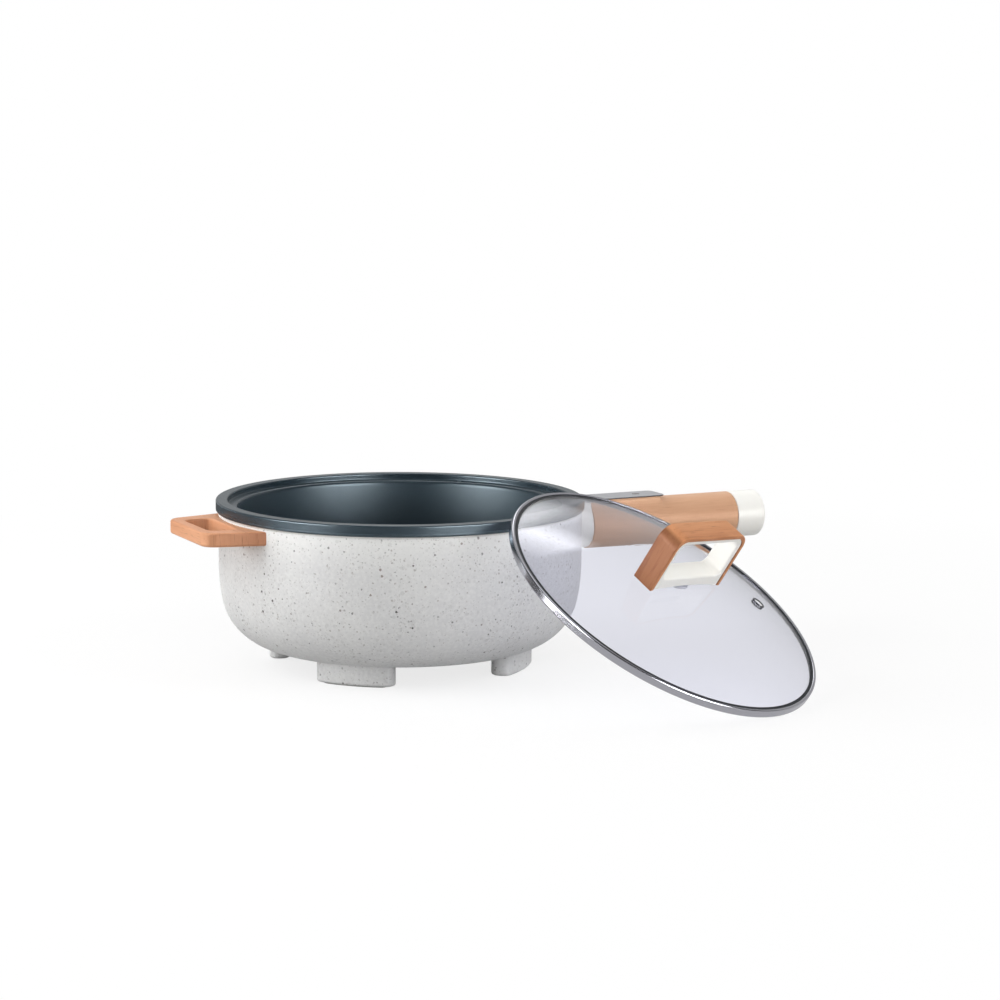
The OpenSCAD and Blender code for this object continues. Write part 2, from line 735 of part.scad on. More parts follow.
// Leads: inlet to switch round the pot, switch to thermostat, thermostat to heater, heater to fuse,
// fuse to inlet. They run in the gap between pot and shell and in the one between shield and heater.
module lead_wires() {
    r = wire_r;
    gap_r = (shell_r - shell_wall + ledge_r + pot_wall) / 2;
    pin = [pin_pitch, inlet_face - pin_inset - inlet_depth - inlet_wall - r, inlet_z - pin_rise];
    mid_z = (shield_z + shield_t + heater_bottom) / 2;
    edge = [shield_r - 1, 0, shield_z + shield_lip + r + 3];
    tab_z = spreader_z - tab_drop - r - slide_gap;
    cold_x = heater_r * cos(heater_gap / 2);
    cold_y = heater_r * sin(heater_gap / 2);
    cold_z = heater_bottom - heater_drop - r;
    fuse_x = fuse_l / 2 + fuse_lead + r / 2;
    fuse_z = spreader_z - fuse_r - push_gap;
    inner_x = switch_face - switch_l - r;
    color([0.75, 0.72, 0.66]) at_pot() {
        wire(concat(
            [pin, pin + [7, -3, -0.5], pin + [18, 0, 3]],
            [[0.31 * (gap_r - 9), 0.95 * (gap_r - 9), floor_z + 6]],
            [for (a = [60:-10:10]) [gap_r * cos(a), gap_r * sin(a), axis_z - 4 - 0.55 * (a - 10)]],
            [[gap_r + 0.3, 8, axis_z + 1], [shell_r - 2.2, 2.2, axis_z + 1.5]],
            [[shell_r + 6, 2, axis_z + 1.5], [inner_x, 2, axis_z + 1.5]]), r);
        wire([[inner_x, -2, axis_z - 1.5], [shell_r + 6, -2, axis_z - 1.5],
            [shell_r - 2.2, -2.2, axis_z - 1.5], [gap_r, -7, axis_z - 4.5],
            [gap_r, -14, axis_z - 16], [gap_r - 3, -18, axis_z - 30],
            [pot_cx + pot_corner, -20, floor_z + 2], [pot_cx, -20, under_z - 5], edge + [0, -18, 0],
            [heater_r + 6, -12, mid_z], [25, -6, mid_z - 1], [4.5, -1, tab_z]], r);
        wire([[-3.5, 0, tab_z], [-5, -10, mid_z - 1], [15, -24, mid_z - 1], [40, -26, mid_z - 1],
            [cold_x, -cold_y, cold_z]], r);
        wire([[cold_x, cold_y, cold_z], [44, 30, cold_z + 1], [28, 35, fuse_z - 2],
            [fuse_x, fuse_at, fuse_z]], r);
        wire([[-fuse_x, fuse_at, fuse_z], [-30, 40, heater_bottom - 2.5 * r], [-30, 58, mid_z],
            [-20, edge.x, edge.z], [-12, pin.y - 10, inlet_z - 5], [-pin.x, pin.y, pin.z]], r);
    }
}

// Loop handle: a rounded bow with a finger slot, seated on the shell's wall
module side_handle() {
    color(WOOD) at_pot() difference() {
        hull() for (y = [-1, 1]) {
            translate([-loop_end + loop_corner, y * (loop_end_w / 2 - loop_corner), loop_z])
                soft_disc(loop_corner, loop_h, loop_edge);
            translate([-shell_r + 12, y * (loop_w / 2 - 6), loop_z])
                soft_disc(6, loop_h, loop_edge);
        }
        rotate_extrude($fn = 180) square([shell_r + push_gap, rim_top]);
        translate([-loop_end + loop_bar, 0, loop_z - 1])
            linear_extrude(loop_h + 2)
                finger_slot();
        for (y = [-1, 1])
            translate([-shell_r - 8, y * loop_screw_at, loop_z + loop_h / 2])
                rotate([0, 90, 0])
                    cylinder(r = screw_r + push_gap, h = 20);
    }
}

// A disc with rounded edges
module soft_disc(r, h, edge) {
    rotate_extrude($fn = 48) polygon(concat(
        [[0, 0]],
        arc(r - edge, edge, edge, -90, 0, 4),
        arc(r - edge, h - edge, edge, 0, 90, 4),
        [[0, h]]));
}

// Plan of the finger slot, from the outer bar in
module finger_slot() {
    depth = loop_reach - loop_bar - loop_root;
    translate([depth / 2, 0]) round_rect(depth, loop_inner_w, loop_slot_corner);
}

module side_handle_screws() {
    x = sqrt(pow(shell_r - shell_wall, 2) - pow(loop_screw_at + screw_head, 2)) - slide_gap;
    color(STEEL) at_pot() for (y = [-1, 1])
        translate([-x, y * loop_screw_at, loop_z + loop_h / 2])
            rotate([0, -90, 0])
                screw(screw_r, screw_head, screw_head_h, loop_screw_l);
}

// Handle core: a tube with a plug at the shell and a wall that carries the switch
module handle_core() {
    color(CREAM) difference() {
        at_axis(0) difference() {
            rod(core_r, shell_r - 12, core_end);
            rod(core_bore, core_plug, switch_face);
            rod(wire_hole, 0, core_plug + 1);
            rod(bush_r + push_gap, switch_face - 1, core_end + 1);
            for (x = [-1, 1])
                translate([x * bolt_at, 0, 0])
                    rod(bolt_r + push_gap, 0, core_plug - 4);
        }
        at_pot() rod(shell_r, 0, rim_top);
        at_pot() translate([lens_x, 0, axis_z]) rod(lens_r + 1.5, 0, grip_r);
    }
}

// Cream collar between the shell and the sleeve, with its share of the panel's seat
module handle_collar() {
    color(CREAM) difference() {
        union() {
            at_axis(0) rod(collar_r, shell_r - 12, collar_end);
            panel_seat(shell_r - 12, collar_end);
        }
        at_axis(0) rod(core_r + slide_gap, 0, collar_end + 1);
        at_pot() rod(shell_r, 0, rim_top);
    }
}

// Flat-topped seat under the control panel
module panel_seat(x0, x1) {
    at_pot() translate([x0, -panel_w / 2, axis_z]) cube([x1 - x0, panel_w, panel_seat_z - axis_z]);
}

// Wood-look sleeve over the core
module handle_sleeve() {
    color(WOOD) difference() {
        union() {
            at_axis(0) rod(grip_r, collar_end, grip_end);
            panel_seat(collar_end, panel_end + 2);
        }
        at_axis(0) rod(core_r + slide_gap, 0, knob_end);
        at_pot() translate([lens_x, 0, axis_z]) rod(lens_r - 0.5, 0, 2 * grip_r);
    }
}

module handle_bolts() {
    x = sqrt(pow(shell_r - shell_wall, 2) - pow(bolt_head, 2));
    color(STEEL) for (side = [-1, 1])
        at_axis(x) translate([side * bolt_at, 0, 0]) screw(bolt_r, bolt_head, 2.6, core_plug - x - 6);
}

// Dark plate on top of the handle's root
module control_panel() {
    color(POT_GREY) at_pot() difference() {
        translate([panel_start, 0, panel_seat_z]) linear_extrude(panel_t) {
            translate([0, -panel_w / 2]) square([panel_end - panel_start - panel_corner, panel_w]);
            translate([panel_end - panel_start - 2 * panel_corner, 0])
                round_rect(2 * panel_corner + 2 * panel_corner, panel_w, panel_corner);
        }
        translate([lens_x, 0, 0]) rod(lens_r, panel_seat_z - 1, panel_top_z + 1);
        rod(shell_r + rest_gap, panel_seat_z - 1, panel_top_z + 1);
    }
}

module indicator_lens() {
    color([0.75, 0.2, 0.12]) at_pot() translate([lens_x, 0, 0]) {
        rod(lens_r - push_gap, panel_seat_z, panel_top_z + 0.2);
        rod(lens_r - 0.5 - push_gap, axis_z + core_r + 1, panel_seat_z + 0.5);
    }
}

module indicator_lamp() {
    color([0.9, 0.7, 0.5]) at_pot() translate([lens_x, 0, 0])
        rod(lens_r - 0.8, axis_z + core_bore - 4, axis_z + core_r + 1);
}

// Rotary switch: a round body behind the end wall, with a bush through it
module rotary_switch() {
    color([0.2, 0.2, 0.22]) at_axis(0) difference() {
        union() {
            rod(core_bore - slide_gap, switch_face - switch_l, switch_face);
            rod(bush_r, switch_face - 1, core_end + nut_t + 1);
        }
        rod(shaft_r + run_gap, switch_face - switch_l + 4, knob_end);
    }
}

module switch_nut() {
    color(BRASS) at_axis(0) difference() {
        translate([0, 0, core_end]) cylinder(r = nut_r, h = nut_t, $fn = 6);
        rod(bush_r + push_gap, core_end - 1, core_end + nut_t + 1);
    }
}

// Shaft of the switch, with a flat where the knob grips it
module switch_shaft() {
    color(STEEL) at_axis(0) difference() {
        rod(shaft_r, switch_face - switch_l + 4.3, shaft_end);
        translate([shaft_r - 1, -shaft_r, knob_end - 14]) cube([2, 2 * shaft_r, 20]);
    }
}

// Cream end of the handle: a cup that turns, with a boss bored for the shaft's flat
module control_knob() {
    color(CREAM) at_axis(0) difference() {
        union() {
            difference() {
                rotate_extrude() polygon(concat(
                    [[0, knob_start], [grip_r, knob_start]],
                    arc(grip_r - knob_edge, knob_end - knob_edge, knob_edge, 0, 90, 6),
                    [[0, knob_end]]));
                rod(grip_r - knob_wall, knob_start - 1, knob_end - 3);
            }
            rod(knob_boss, knob_end - 13, knob_end - 2);
        }
        difference() {
            rod(shaft_r + push_gap, knob_end - 20, shaft_end + push_gap);
            translate([shaft_r - 1 + push_gap, -shaft_r, knob_end - 13.5]) cube([2, 2 * shaft_r, 20]);
        }
    }
}

// Domed glass with holes for the handle's screw and the vent
module lid_glass() {
    color([0.8, 0.82, 0.88, 0.4]) at_lid() difference() {
        intersection() {
            translate([0, 0, dome_z]) sphere(dome_out, $fn = 180);
            rod(glass_r, 0, glass_top + 1);
        }
        translate([0, 0, dome_z]) sphere(dome_in, $fn = 180);
        rod(4, 0, glass_top + 1);
        at_vent() rod(vent_r - 2, -glass_t - 2, 3);
    }
}

// Rolled steel band round the glass's edge
module lid_band() {
    color(STEEL) at_lid() rotate_extrude($fn = 180) difference() {
        translate([band_in, 0]) square([lid_r - band_in, lid_band_h]);
        translate([band_in - 1, lid_sheet]) square([lid_r - lid_sheet - band_in + 1, lip_under - lid_sheet]);
        translate([band_in - 1, lid_sheet]) square([lip_in - band_in + 1, lid_band_h]);
    }
}

// Frame of the vent: z runs out through the glass, from its outer face
module at_vent() {
    rotate([0, 0, vent_turn])
        translate([0, 0, dome_z])
            rotate([0, asin(vent_at / dome_out), 0])
                translate([0, 0, dome_out])
                    children();
}

module vent_eyelet() {
    color(STEEL) at_lid() at_vent() rotate_extrude() polygon([
        [vent_r - 3.4, 1],
        [vent_r - 0.6, 1],
        [vent_r, 0.3],
        [vent_r, 0.1],
        [vent_r - 2.1, 0.1],
        [vent_r - 2.1, -glass_t - 0.15],
        [vent_r - 0.4, -glass_t - 0.15],
        [vent_r - 0.4, -glass_t - 0.8],
        [vent_r - 3.4, -glass_t - 0.8]]);
}

// Plan of the lid handle's bow, drawn in from its outer face, with its foot below the glass's top
module bridge_outline(inset) {
    h = bridge_h + 2 * bridge_corner;
    translate([0, bridge_h - h / 2 - inset])
        round_rect(bridge_l - 2 * inset, h, bridge_corner - inset);
}

// Cream inner frame of the lid's handle: a loop that closes over a base
module lid_handle_frame() {
    inner = strap_t + frame_t;
    color(CREAM) at_lid() difference() {
        translate([0, 0, glass_top])
            rotate([90, 0, 0])
                linear_extrude(bridge_w - 1, center = true)
                    difference() {
                        bridge_outline(strap_t + push_gap);
                        translate([0, (base_h + bridge_h - inner) / 2])
                            round_rect(bridge_l - 2 * inner, bridge_h - inner - base_h, 5);
                    }
        translate([0, 0, dome_z]) sphere(dome_out + rest_gap, $fn = 180);
        rod(seal_r + 0.5, glass_top - 1, glass_top + 1);
        rod(lid_screw_r + push_gap, 0, glass_top + base_h - 2);
    }
}

// Wood-look strap over the frame
module lid_handle_strap() {
    color(WOOD) at_lid() difference() {
        translate([0, 0, glass_top])
            rotate([90, 0, 0])
                linear_extrude(bridge_w, center = true)
                    difference() {
                        bridge_outline(0);
                        bridge_outline(strap_t);
                    }
        translate([0, 0, dome_z]) sphere(dome_out + rest_gap, $fn = 180);
    }
}

module lid_handle_seal() {
    color(CREAM) at_lid() ring(seal_r, lid_screw_r + slide_gap, glass_top, glass_top + 1);
}

module lid_washer() {
    color(STEEL) at_lid() ring(washer_r, lid_screw_r + slide_gap, washer_z - washer_t, washer_z);
}

module lid_screw() {
    color(STEEL) at_lid() translate([0, 0, washer_z - washer_t]) screw(lid_screw_r, 5, 2.6, glass_t + base_h - 2);
}

outer_shell();
cooking_pot();
rim_gasket();
heat_spreader();
heating_element();
thermostat();
thermostat_bracket();
bracket_screws();
thermal_fuse();
fuse_clip();
heat_shield();
pot_studs();
stud_screws();
bottom_cover();
cover_screws();
foot_pads();
power_inlet();
inlet_pins();
inlet_screws();
lead_wires();
side_handle();
side_handle_screws();
handle_core();
handle_collar();
handle_sleeve();
handle_bolts();
control_panel();
indicator_lens();
indicator_lamp();
rotary_switch();
switch_nut();
switch_shaft();
control_knob();
lid_glass();
lid_band();
vent_eyelet();
lid_handle_frame();
lid_handle_strap();
lid_handle_seal();
lid_washer();
lid_screw();
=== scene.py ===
import math

import bmesh
import bpy
from mathutils import Matrix, Vector


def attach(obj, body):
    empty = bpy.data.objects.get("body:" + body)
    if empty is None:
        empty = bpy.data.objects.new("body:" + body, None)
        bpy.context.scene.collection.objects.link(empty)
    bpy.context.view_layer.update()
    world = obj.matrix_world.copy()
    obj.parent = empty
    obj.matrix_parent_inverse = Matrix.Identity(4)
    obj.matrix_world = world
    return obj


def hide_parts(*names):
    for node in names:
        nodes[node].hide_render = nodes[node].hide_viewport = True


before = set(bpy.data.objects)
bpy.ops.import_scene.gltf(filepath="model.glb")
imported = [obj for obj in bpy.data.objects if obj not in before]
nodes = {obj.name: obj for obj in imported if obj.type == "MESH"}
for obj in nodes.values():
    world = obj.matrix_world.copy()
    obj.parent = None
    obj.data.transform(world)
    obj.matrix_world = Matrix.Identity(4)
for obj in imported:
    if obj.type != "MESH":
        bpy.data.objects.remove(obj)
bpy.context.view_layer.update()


# Outer shell: a bowl moulded in pale plastic with dark specks in it, in the manner of stoneware.
# It is open at the top for the pot and at the bottom for the cover, and its wall rolls under in one
# wide corner. Sizes are in millimetres, from the middle of the pot, up from the table.
MM = 0.001
UPWARD = (0.0, 0.0, 1.0)
SHELL_R, SHELL_TOP, SHELL_WALL, SHELL_EDGE = 138.2, 117.5, 3.0, 0.8
FOOT_H, BELLY_R, BELLY_Z, CORNER_R = 15.0, 147.0, 79.0, 44.0
COVER_HOLE, TOP_HIGHLIGHT_DEPTH, SPECK_WOBBLE = 60.0, 30.0, 1.2
POT_X, POT_Y = -70.25, 82.7008


def row(x=0.0, y=0.0, z=0.0):
    """From millimetres about a point of the pot's own frame to metres in the shared frame."""
    return Matrix.Scale(MM, 4) @ Matrix.Translation((POT_X + x, POT_Y + y, z))


def arc(x, y, r, start, end, steps):
    """Points on an arc, in degrees."""
    turns = [math.radians(start + (end - start) * i / steps) for i in range(steps + 1)]
    return [(x + r * math.cos(a), y + r * math.sin(a)) for a in turns]


def mesh_object(name, shape, sharp=38):
    """A shaded object from a closed bmesh, with its faces turned outwards."""
    bmesh.ops.remove_doubles(shape, verts=shape.verts, dist=1e-7)
    bmesh.ops.recalc_face_normals(shape, faces=shape.faces)
    mesh = bpy.data.meshes.new(name)
    shape.to_mesh(mesh)
    shape.free()
    mesh.shade_smooth()
    mesh.set_sharp_from_angle(angle=math.radians(sharp))
    piece = bpy.data.objects.new(name, mesh)
    bpy.context.scene.collection.objects.link(piece)
    return piece


def skin(name, rings, place, closed=False):
    """A surface over a row of rings with as many points each, closed on itself or capped."""
    shape = bmesh.new()
    loops = [[shape.verts.new(place @ Vector(p)) for p in ring] for ring in rings]
    count = len(loops[0])
    for i in range(len(loops) if closed else len(loops) - 1):
        a, b = loops[i], loops[(i + 1) % len(loops)]
        for k in range(count):
            shape.faces.new((a[k], a[(k + 1) % count], b[(k + 1) % count], b[k]))
    if not closed:
        shape.faces.new(loops[0])
        shape.faces.new(loops[-1])
    return mesh_object(name, shape)


def held(section, room=0.35):
    """A section with a point close to each end of its long sides, so that shading stays crisp."""
    out = []
    for a, b in zip(section, section[1:] + section[:1]):
        out.append(a)
        long = math.dist(a, b)
        if long > 4 * room:
            for t in (room / long, 1 - room / long):
                out.append((a[0] + (b[0] - a[0]) * t, a[1] + (b[1] - a[1]) * t))
    return out


def lathe(name, section, place, turns=256):
    """A closed section of radius and height, turned about the z axis."""
    angles = [2 * math.pi * k / turns for k in range(turns)]
    rings = [[(r * math.cos(a), r * math.sin(a), z) for a in angles] for r, z in held(section)]
    return skin(name, rings, place, closed=True)


def fit(piece, finish, body, slot, *stands_for):
    """The finish and the body of a piece, and the CAD nodes that it stands for, which it hides; the slot is
    not used.
    """
    piece.data.materials.clear()
    piece.data.materials.append(finish)
    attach(piece, body)
    if stands_for:
        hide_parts(*stands_for)


def shell_side(inset_by, steps):
    """The shell's side from its flat bottom up to its straight wall, drawn in from its outer face."""
    belly_x = SHELL_R - BELLY_R
    corner_z = FOOT_H + CORNER_R
    blend = math.degrees(math.asin((BELLY_Z - corner_z) / (BELLY_R - CORNER_R)))
    corner_x = belly_x + (BELLY_R - CORNER_R) * math.cos(math.radians(blend))
    low = arc(corner_x, corner_z, CORNER_R - inset_by, -90, -blend, steps)
    high = arc(belly_x, BELLY_Z, BELLY_R - inset_by, -blend, 0, steps // 3)
    return low + high[1:]


shell_section = (
    [(COVER_HOLE, FOOT_H)]
    + shell_side(0, 36)
    + arc(SHELL_R - SHELL_EDGE, SHELL_TOP - SHELL_EDGE, SHELL_EDGE, 0, 90, 5)
    + [(SHELL_R - SHELL_WALL, SHELL_TOP)]
    + shell_side(SHELL_WALL, 24)[::-1]
    + [(COVER_HOLE, FOOT_H + SHELL_WALL)])
shell = lathe("shell_bowl", shell_section, row())


def srgb(red, green, blue):
    """A colour as it is seen on a screen, 0 to 255, made linear."""
    return tuple((c / 255 / 12.92 if c < 11 else ((c / 255 + 0.055) / 1.055) ** 2.4)
                 for c in (red, green, blue)) + (1.0,)


class Value:
    """A shader's socket that takes part in sums: each sign adds a Math node."""

    def __init__(self, finish, socket):
        self.finish, self.socket = finish, socket

    def sign(self, kind, a, b=0.0):
        return self.finish.node("ShaderNodeMath", {"operation": kind}, {0: a, 1: b})

    def __add__(self, b):
        return self.sign("ADD", self, b)

    def __sub__(self, b):
        return self.sign("SUBTRACT", self, b)

    def __rsub__(self, b):
        return self.sign("SUBTRACT", b, self)

    def __mul__(self, b):
        return self.sign("MULTIPLY", self, b)

    def __pow__(self, b):
        return self.sign("POWER", self, b)

    def __lt__(self, b):
        return self.sign("LESS_THAN", self, b)

    __radd__, __rmul__ = __add__, __mul__

    def most(self, b):
        return self.sign("MAXIMUM", self, b)

    def size(self):
        return self.sign("ABSOLUTE", self)

    def span(self, low, high):
        """0 below low, 1 above high, and an even ramp between."""
        return self.finish.node("ShaderNodeMapRange", {"clamp": True}, {0: self, 1: low, 2: high})


class Nodes:
    """A shader's tree, to which nodes are added one by one."""

    def __init__(self, tree):
        self.tree = tree

    def node(self, kind, settings=(), sockets=(), out=0):
        made = self.tree.nodes.new(kind)
        for key, value in dict(settings).items():
            setattr(made, key, value)
        for key, value in dict(sockets).items():
            self.put(made.inputs[key], value)
        return Value(self, made.outputs[out])

    def put(self, socket, value):
        if isinstance(value, Value):
            self.tree.links.new(value.socket, socket)
        else:
            socket.default_value = value

    def mix(self, share, a, b):
        return self.node("ShaderNodeMix", {"data_type": "RGBA"}, {0: share, 6: a, 7: b}, out=2)

    def along(self, vector, axis):
        """How far a vector reaches along an axis."""
        return self.node("ShaderNodeVectorMath", {"operation": "DOT_PRODUCT"}, {
            0: vector, 1: axis}, out="Value")

    def far(self, vector):
        """How long a vector is."""
        return self.node("ShaderNodeVectorMath", {"operation": "LENGTH"}, {0: vector}, out="Value")


class Finish(Nodes):
    """A material that is built round one Principled shader."""

    def __init__(self, name, **sockets):
        self.material = bpy.data.materials.new(name)
        self.material.use_nodes = True
        super().__init__(self.material.node_tree)
        self.shader = self.tree.nodes["Principled BSDF"]
        self.here = self.node("ShaderNodeTexCoord", out="Object")
        self.set(**sockets)

    def set(self, **sockets):
        for key, value in sockets.items():
            self.put(self.shader.inputs[key.replace("_", " ")], value)

    def noise(self, scale, detail, at=None, rough=0.5):
        return self.node("ShaderNodeTexNoise", {}, {
            "Vector": at or self.here, "Scale": scale, "Detail": detail, "Roughness": rough})

    def facing(self, axis):
        """How far the surface looks along an axis."""
        return self.along(self.node("ShaderNodeNewGeometry", out="Normal"), axis)

    def turned(self, place, stretch):
        """The surface's own place, read in another frame and stretched."""
        spot, turn, _ = place.decompose()
        inner = self.node("ShaderNodeMapping", {"vector_type": "TEXTURE"}, {
            "Vector": self.here, "Location": spot, "Rotation": turn.to_euler()})
        return self.node("ShaderNodeMapping", {}, {"Vector": inner, "Scale": stretch})

    def bump(self, height, strength, depth):
        self.set(Normal=self.node("ShaderNodeBump", {}, {
            "Height": height, "Strength": strength, "Distance": depth}))


def speckled():
    """Pale plastic with faint blotches and four sizes of speck, thicker in some places, and a painted
    highlight towards its top edge. A row of specks holds how many cells there are to a metre, the
    share of them with a speck, its least and largest size, its soft edge, its weight, and its grey and
    brown."""
    finish = Finish("speckled_shell", Specular_IOR_Level=0.4)
    cloud = finish.noise(22.0, 3.0)
    thick = finish.noise(36.0, 3.0).span(0.36, 0.64)
    mottle = finish.noise(420.0, 2.0).span(0.4, 0.7) * 0.3
    # Painted highlight: the wall grows paler towards its top edge, as if more light fell there.
    top = finish.along(finish.here, UPWARD).span((SHELL_TOP - TOP_HIGHLIGHT_DEPTH) * MM, SHELL_TOP * MM)
    colour = finish.mix(cloud.span(0.3, 0.7), srgb(217, 217, 216), srgb(210, 210, 210))
    colour = finish.mix(mottle, colour, srgb(242, 242, 240))
    colour = finish.mix(top ** 1.4 * 0.62, colour, srgb(252, 252, 249))
    ragged = finish.node("ShaderNodeTexNoise", {}, {"Vector": finish.here, "Scale": 1300.0}, out=1)
    wobble = finish.node("ShaderNodeVectorMath", {"operation": "MULTIPLY_ADD"}, {
        0: ragged, 1: (SPECK_WOBBLE * MM,) * 3, 2: finish.here})
    height = finish.noise(1500.0, 1.0) * 0.25
    for cells, share, small, large, soft, weight, grey, brown in (
            (230.0, 0.60, 0.20, 0.42, 0.14, 0.15, (130, 130, 128), (142, 138, 132)),
            (520.0, 0.80, 0.20, 0.36, 0.03, 0.30, (150, 150, 146), (168, 160, 152)),
            (300.0, 0.75, 0.14, 0.25, 0.03, 0.52, (116, 116, 114), (138, 126, 118)),
            (165.0, 0.70, 0.10, 0.16, 0.03, 0.76, (84, 84, 84), (116, 100, 92)),
            (100.0, 0.62, 0.065, 0.10, 0.03, 0.95, (34, 34, 36), (62, 54, 50))):
        cell = {"Vector": wobble, "Scale": cells}
        away = finish.node("ShaderNodeTexVoronoi", {}, cell)
        pick = finish.node("ShaderNodeSeparateColor", {}, {
            0: finish.node("ShaderNodeTexVoronoi", {}, cell, out="Color")})
        red, green, blue = (Value(finish, pick.socket.node.outputs[i]) for i in range(3))
        edge = small + green * (large - small)
        speck = (edge - away).span(-0.02, soft) * (red < share * (0.25 + thick * 0.75))
        tone = finish.mix(blue.span(0.35, 0.75), srgb(*grey), srgb(*brown))
        colour = finish.mix(speck * weight, colour, tone)
        height = height - speck * weight * 0.3
    finish.set(Base_Color=colour, Roughness=0.46 + cloud * 0.08)
    finish.bump(height, 0.12, 0.4 * MM)
    return finish.material


shell_finish = speckled()
fit(shell, shell_finish, "cooker", "shell", "outer_shell")


# Feet: four short arcs moulded under the shell, with round ends and soft lower edges, each with a
# shallow pocket for its rubber pad. One is drawn, and set four times round the pot's axis.
FOOT_R, FOOT_W, FOOT_HALF, FOOT_EDGE, FOOT_SUNK = 93.2, 16.0, 14.076, 2.0, 2.0
PAD_PROUD, PAD_DEPTH, PAD_W, PAD_HALF, PAD_ROOM = 0.8, 1.8, 11.0, 12.076, 0.2
FEET, FEET_START = 4, 45


def bent(half_width, half_angle, z):
    """A ring along an arc of the feet's circle, about the middle of the arc, with round ends."""
    turn = math.radians(half_angle)
    x, y = FOOT_R * math.cos(turn), FOOT_R * math.sin(turn)
    plan = (
        arc(0, 0, FOOT_R + half_width, -half_angle, half_angle, 24)
        + arc(x, y, half_width, half_angle, half_angle + 180, 16)[1:-1]
        + arc(0, 0, FOOT_R - half_width, half_angle, -half_angle, 24)
        + arc(x, -y, half_width, 180 - half_angle, 360 - half_angle, 16)[1:-1])
    return [(x - FOOT_R, y, z) for x, y in plan]


def ring_of(name, one, count, radius, start, finish):
    """Copies of one piece, set evenly in a ring round the pot's axis, as one plain mesh."""
    tree = bpy.data.node_groups.new(name + "_ring", "GeometryNodeTree")
    made = {}
    for label, kind in (("Piece", "Object"), ("Count", "Int"), ("Radius", "Float"),
                        ("Start", "Rotation"), ("Middle", "Vector"), ("Finish", "Material")):
        made[label] = tree.interface.new_socket(label, in_out="INPUT", socket_type="NodeSocket" + kind)
    tree.interface.new_socket("Geometry", in_out="OUTPUT", socket_type="NodeSocketGeometry")

    def add(kind, links, **settings):
        node = tree.nodes.new(kind)
        for key, value in settings.items():
            setattr(node, key, value)
        for key, socket in links.items():
            tree.links.new(socket, node.inputs[key])
        return node

    given = tree.nodes.new("NodeGroupInput").outputs
    circle = add("GeometryNodeMeshCircle", {"Vertices": given["Count"], "Radius": given["Radius"]})
    spot = add("GeometryNodeInputPosition", {})
    facing = add("FunctionNodeAlignRotationToVector", {"Vector": spot.outputs[0]}, axis="X")
    shown = add("GeometryNodeObjectInfo", {"Object": given["Piece"]})
    copies = add("GeometryNodeInstanceOnPoints", {
        "Points": circle.outputs[0], "Instance": shown.outputs["Geometry"], "Rotation": facing.outputs[0]})
    real = add("GeometryNodeRealizeInstances", {"Geometry": copies.outputs[0]})
    placed = add("GeometryNodeTransform", {
        "Geometry": real.outputs[0], "Rotation": given["Start"], "Translation": given["Middle"]})
    done = add("GeometryNodeSetMaterial", {"Geometry": placed.outputs[0], "Material": given["Finish"]})
    tree.links.new(done.outputs[0], tree.nodes.new("NodeGroupOutput").inputs[0])

    host = bpy.data.objects.new(name + "_host", bpy.data.meshes.new(name + "_host"))
    bpy.context.scene.collection.objects.link(host)
    modifier = host.modifiers.new("ring", "NODES")
    modifier.node_group = tree
    for label, value in (("Piece", one), ("Count", count), ("Radius", radius * MM),
                         ("Start", (0.0, 0.0, math.radians(start))),
                         ("Middle", (POT_X * MM, POT_Y * MM, 0.0)), ("Finish", finish)):
        modifier[made[label].identifier] = value
    bpy.context.view_layer.update()
    solid = host.evaluated_get(bpy.context.evaluated_depsgraph_get())
    mesh = bpy.data.meshes.new_from_object(solid)
    mesh.name = name
    piece = bpy.data.objects.new(name, mesh)
    bpy.context.scene.collection.objects.link(piece)
    for spare in (host, one):
        bpy.data.objects.remove(spare)
    return piece


foot_rings = [
    bent(FOOT_W / 2, FOOT_HALF, FOOT_H + FOOT_SUNK),
    bent(FOOT_W / 2, FOOT_HALF, PAD_PROUD + FOOT_EDGE * 1.2)]
for drawn_in, z in arc(FOOT_EDGE, FOOT_EDGE, FOOT_EDGE, 180, 270, 6):
    foot_rings.append(bent(FOOT_W / 2 - drawn_in, FOOT_HALF, PAD_PROUD + z))
for z in (PAD_PROUD, PAD_PROUD + PAD_DEPTH):
    foot_rings.append(bent(PAD_W / 2 + PAD_ROOM, PAD_HALF, z))
millimetres = Matrix.Scale(MM, 4)
foot = skin("foot", foot_rings, millimetres)
feet = ring_of("shell_feet", foot, FEET, FOOT_R, FEET_START, shell_finish)
fit(feet, shell_finish, "cooker", "shell", "outer_shell")


# Cooking pot: die-cast aluminium with a dark non-stick coat inside and out. Its rim is a flat band
# with a step inside it, the ledge that the lid sits on when the pot is closed. Above the ledge the
# coat is glossier.
RIM_R, RIM_TOP, RIM_BAND, RIM_EDGE = 140.0, 127.0, 8.5, 1.2
LIP_R, LEDGE_R, LEDGE_Z, LEDGE_EDGE, LEDGE_FILLET = 131.0, 123.5, 122.0, 1.6, 0.8
FLOOR_Z, POT_CORNER, POT_WALL, POT_DRAFT = 49.0, 18.0, 3.0, 5.0


def pot_wall(grow, top, steps=20):
    """The pot's side from the middle of its floor up to a height, grown out by its wall."""
    lean = math.radians(POT_DRAFT)
    z = FLOOR_Z + POT_CORNER
    x = LEDGE_R - POT_CORNER / math.cos(lean) - (LEDGE_Z - z) * math.tan(lean)
    out = arc(x, z, POT_CORNER + grow, -90, -POT_DRAFT, steps)
    end = LEDGE_R + grow / math.cos(lean) + (top - LEDGE_Z) * math.tan(lean)
    return [(0.0, FLOOR_Z - grow)] + out + [(end, top)]


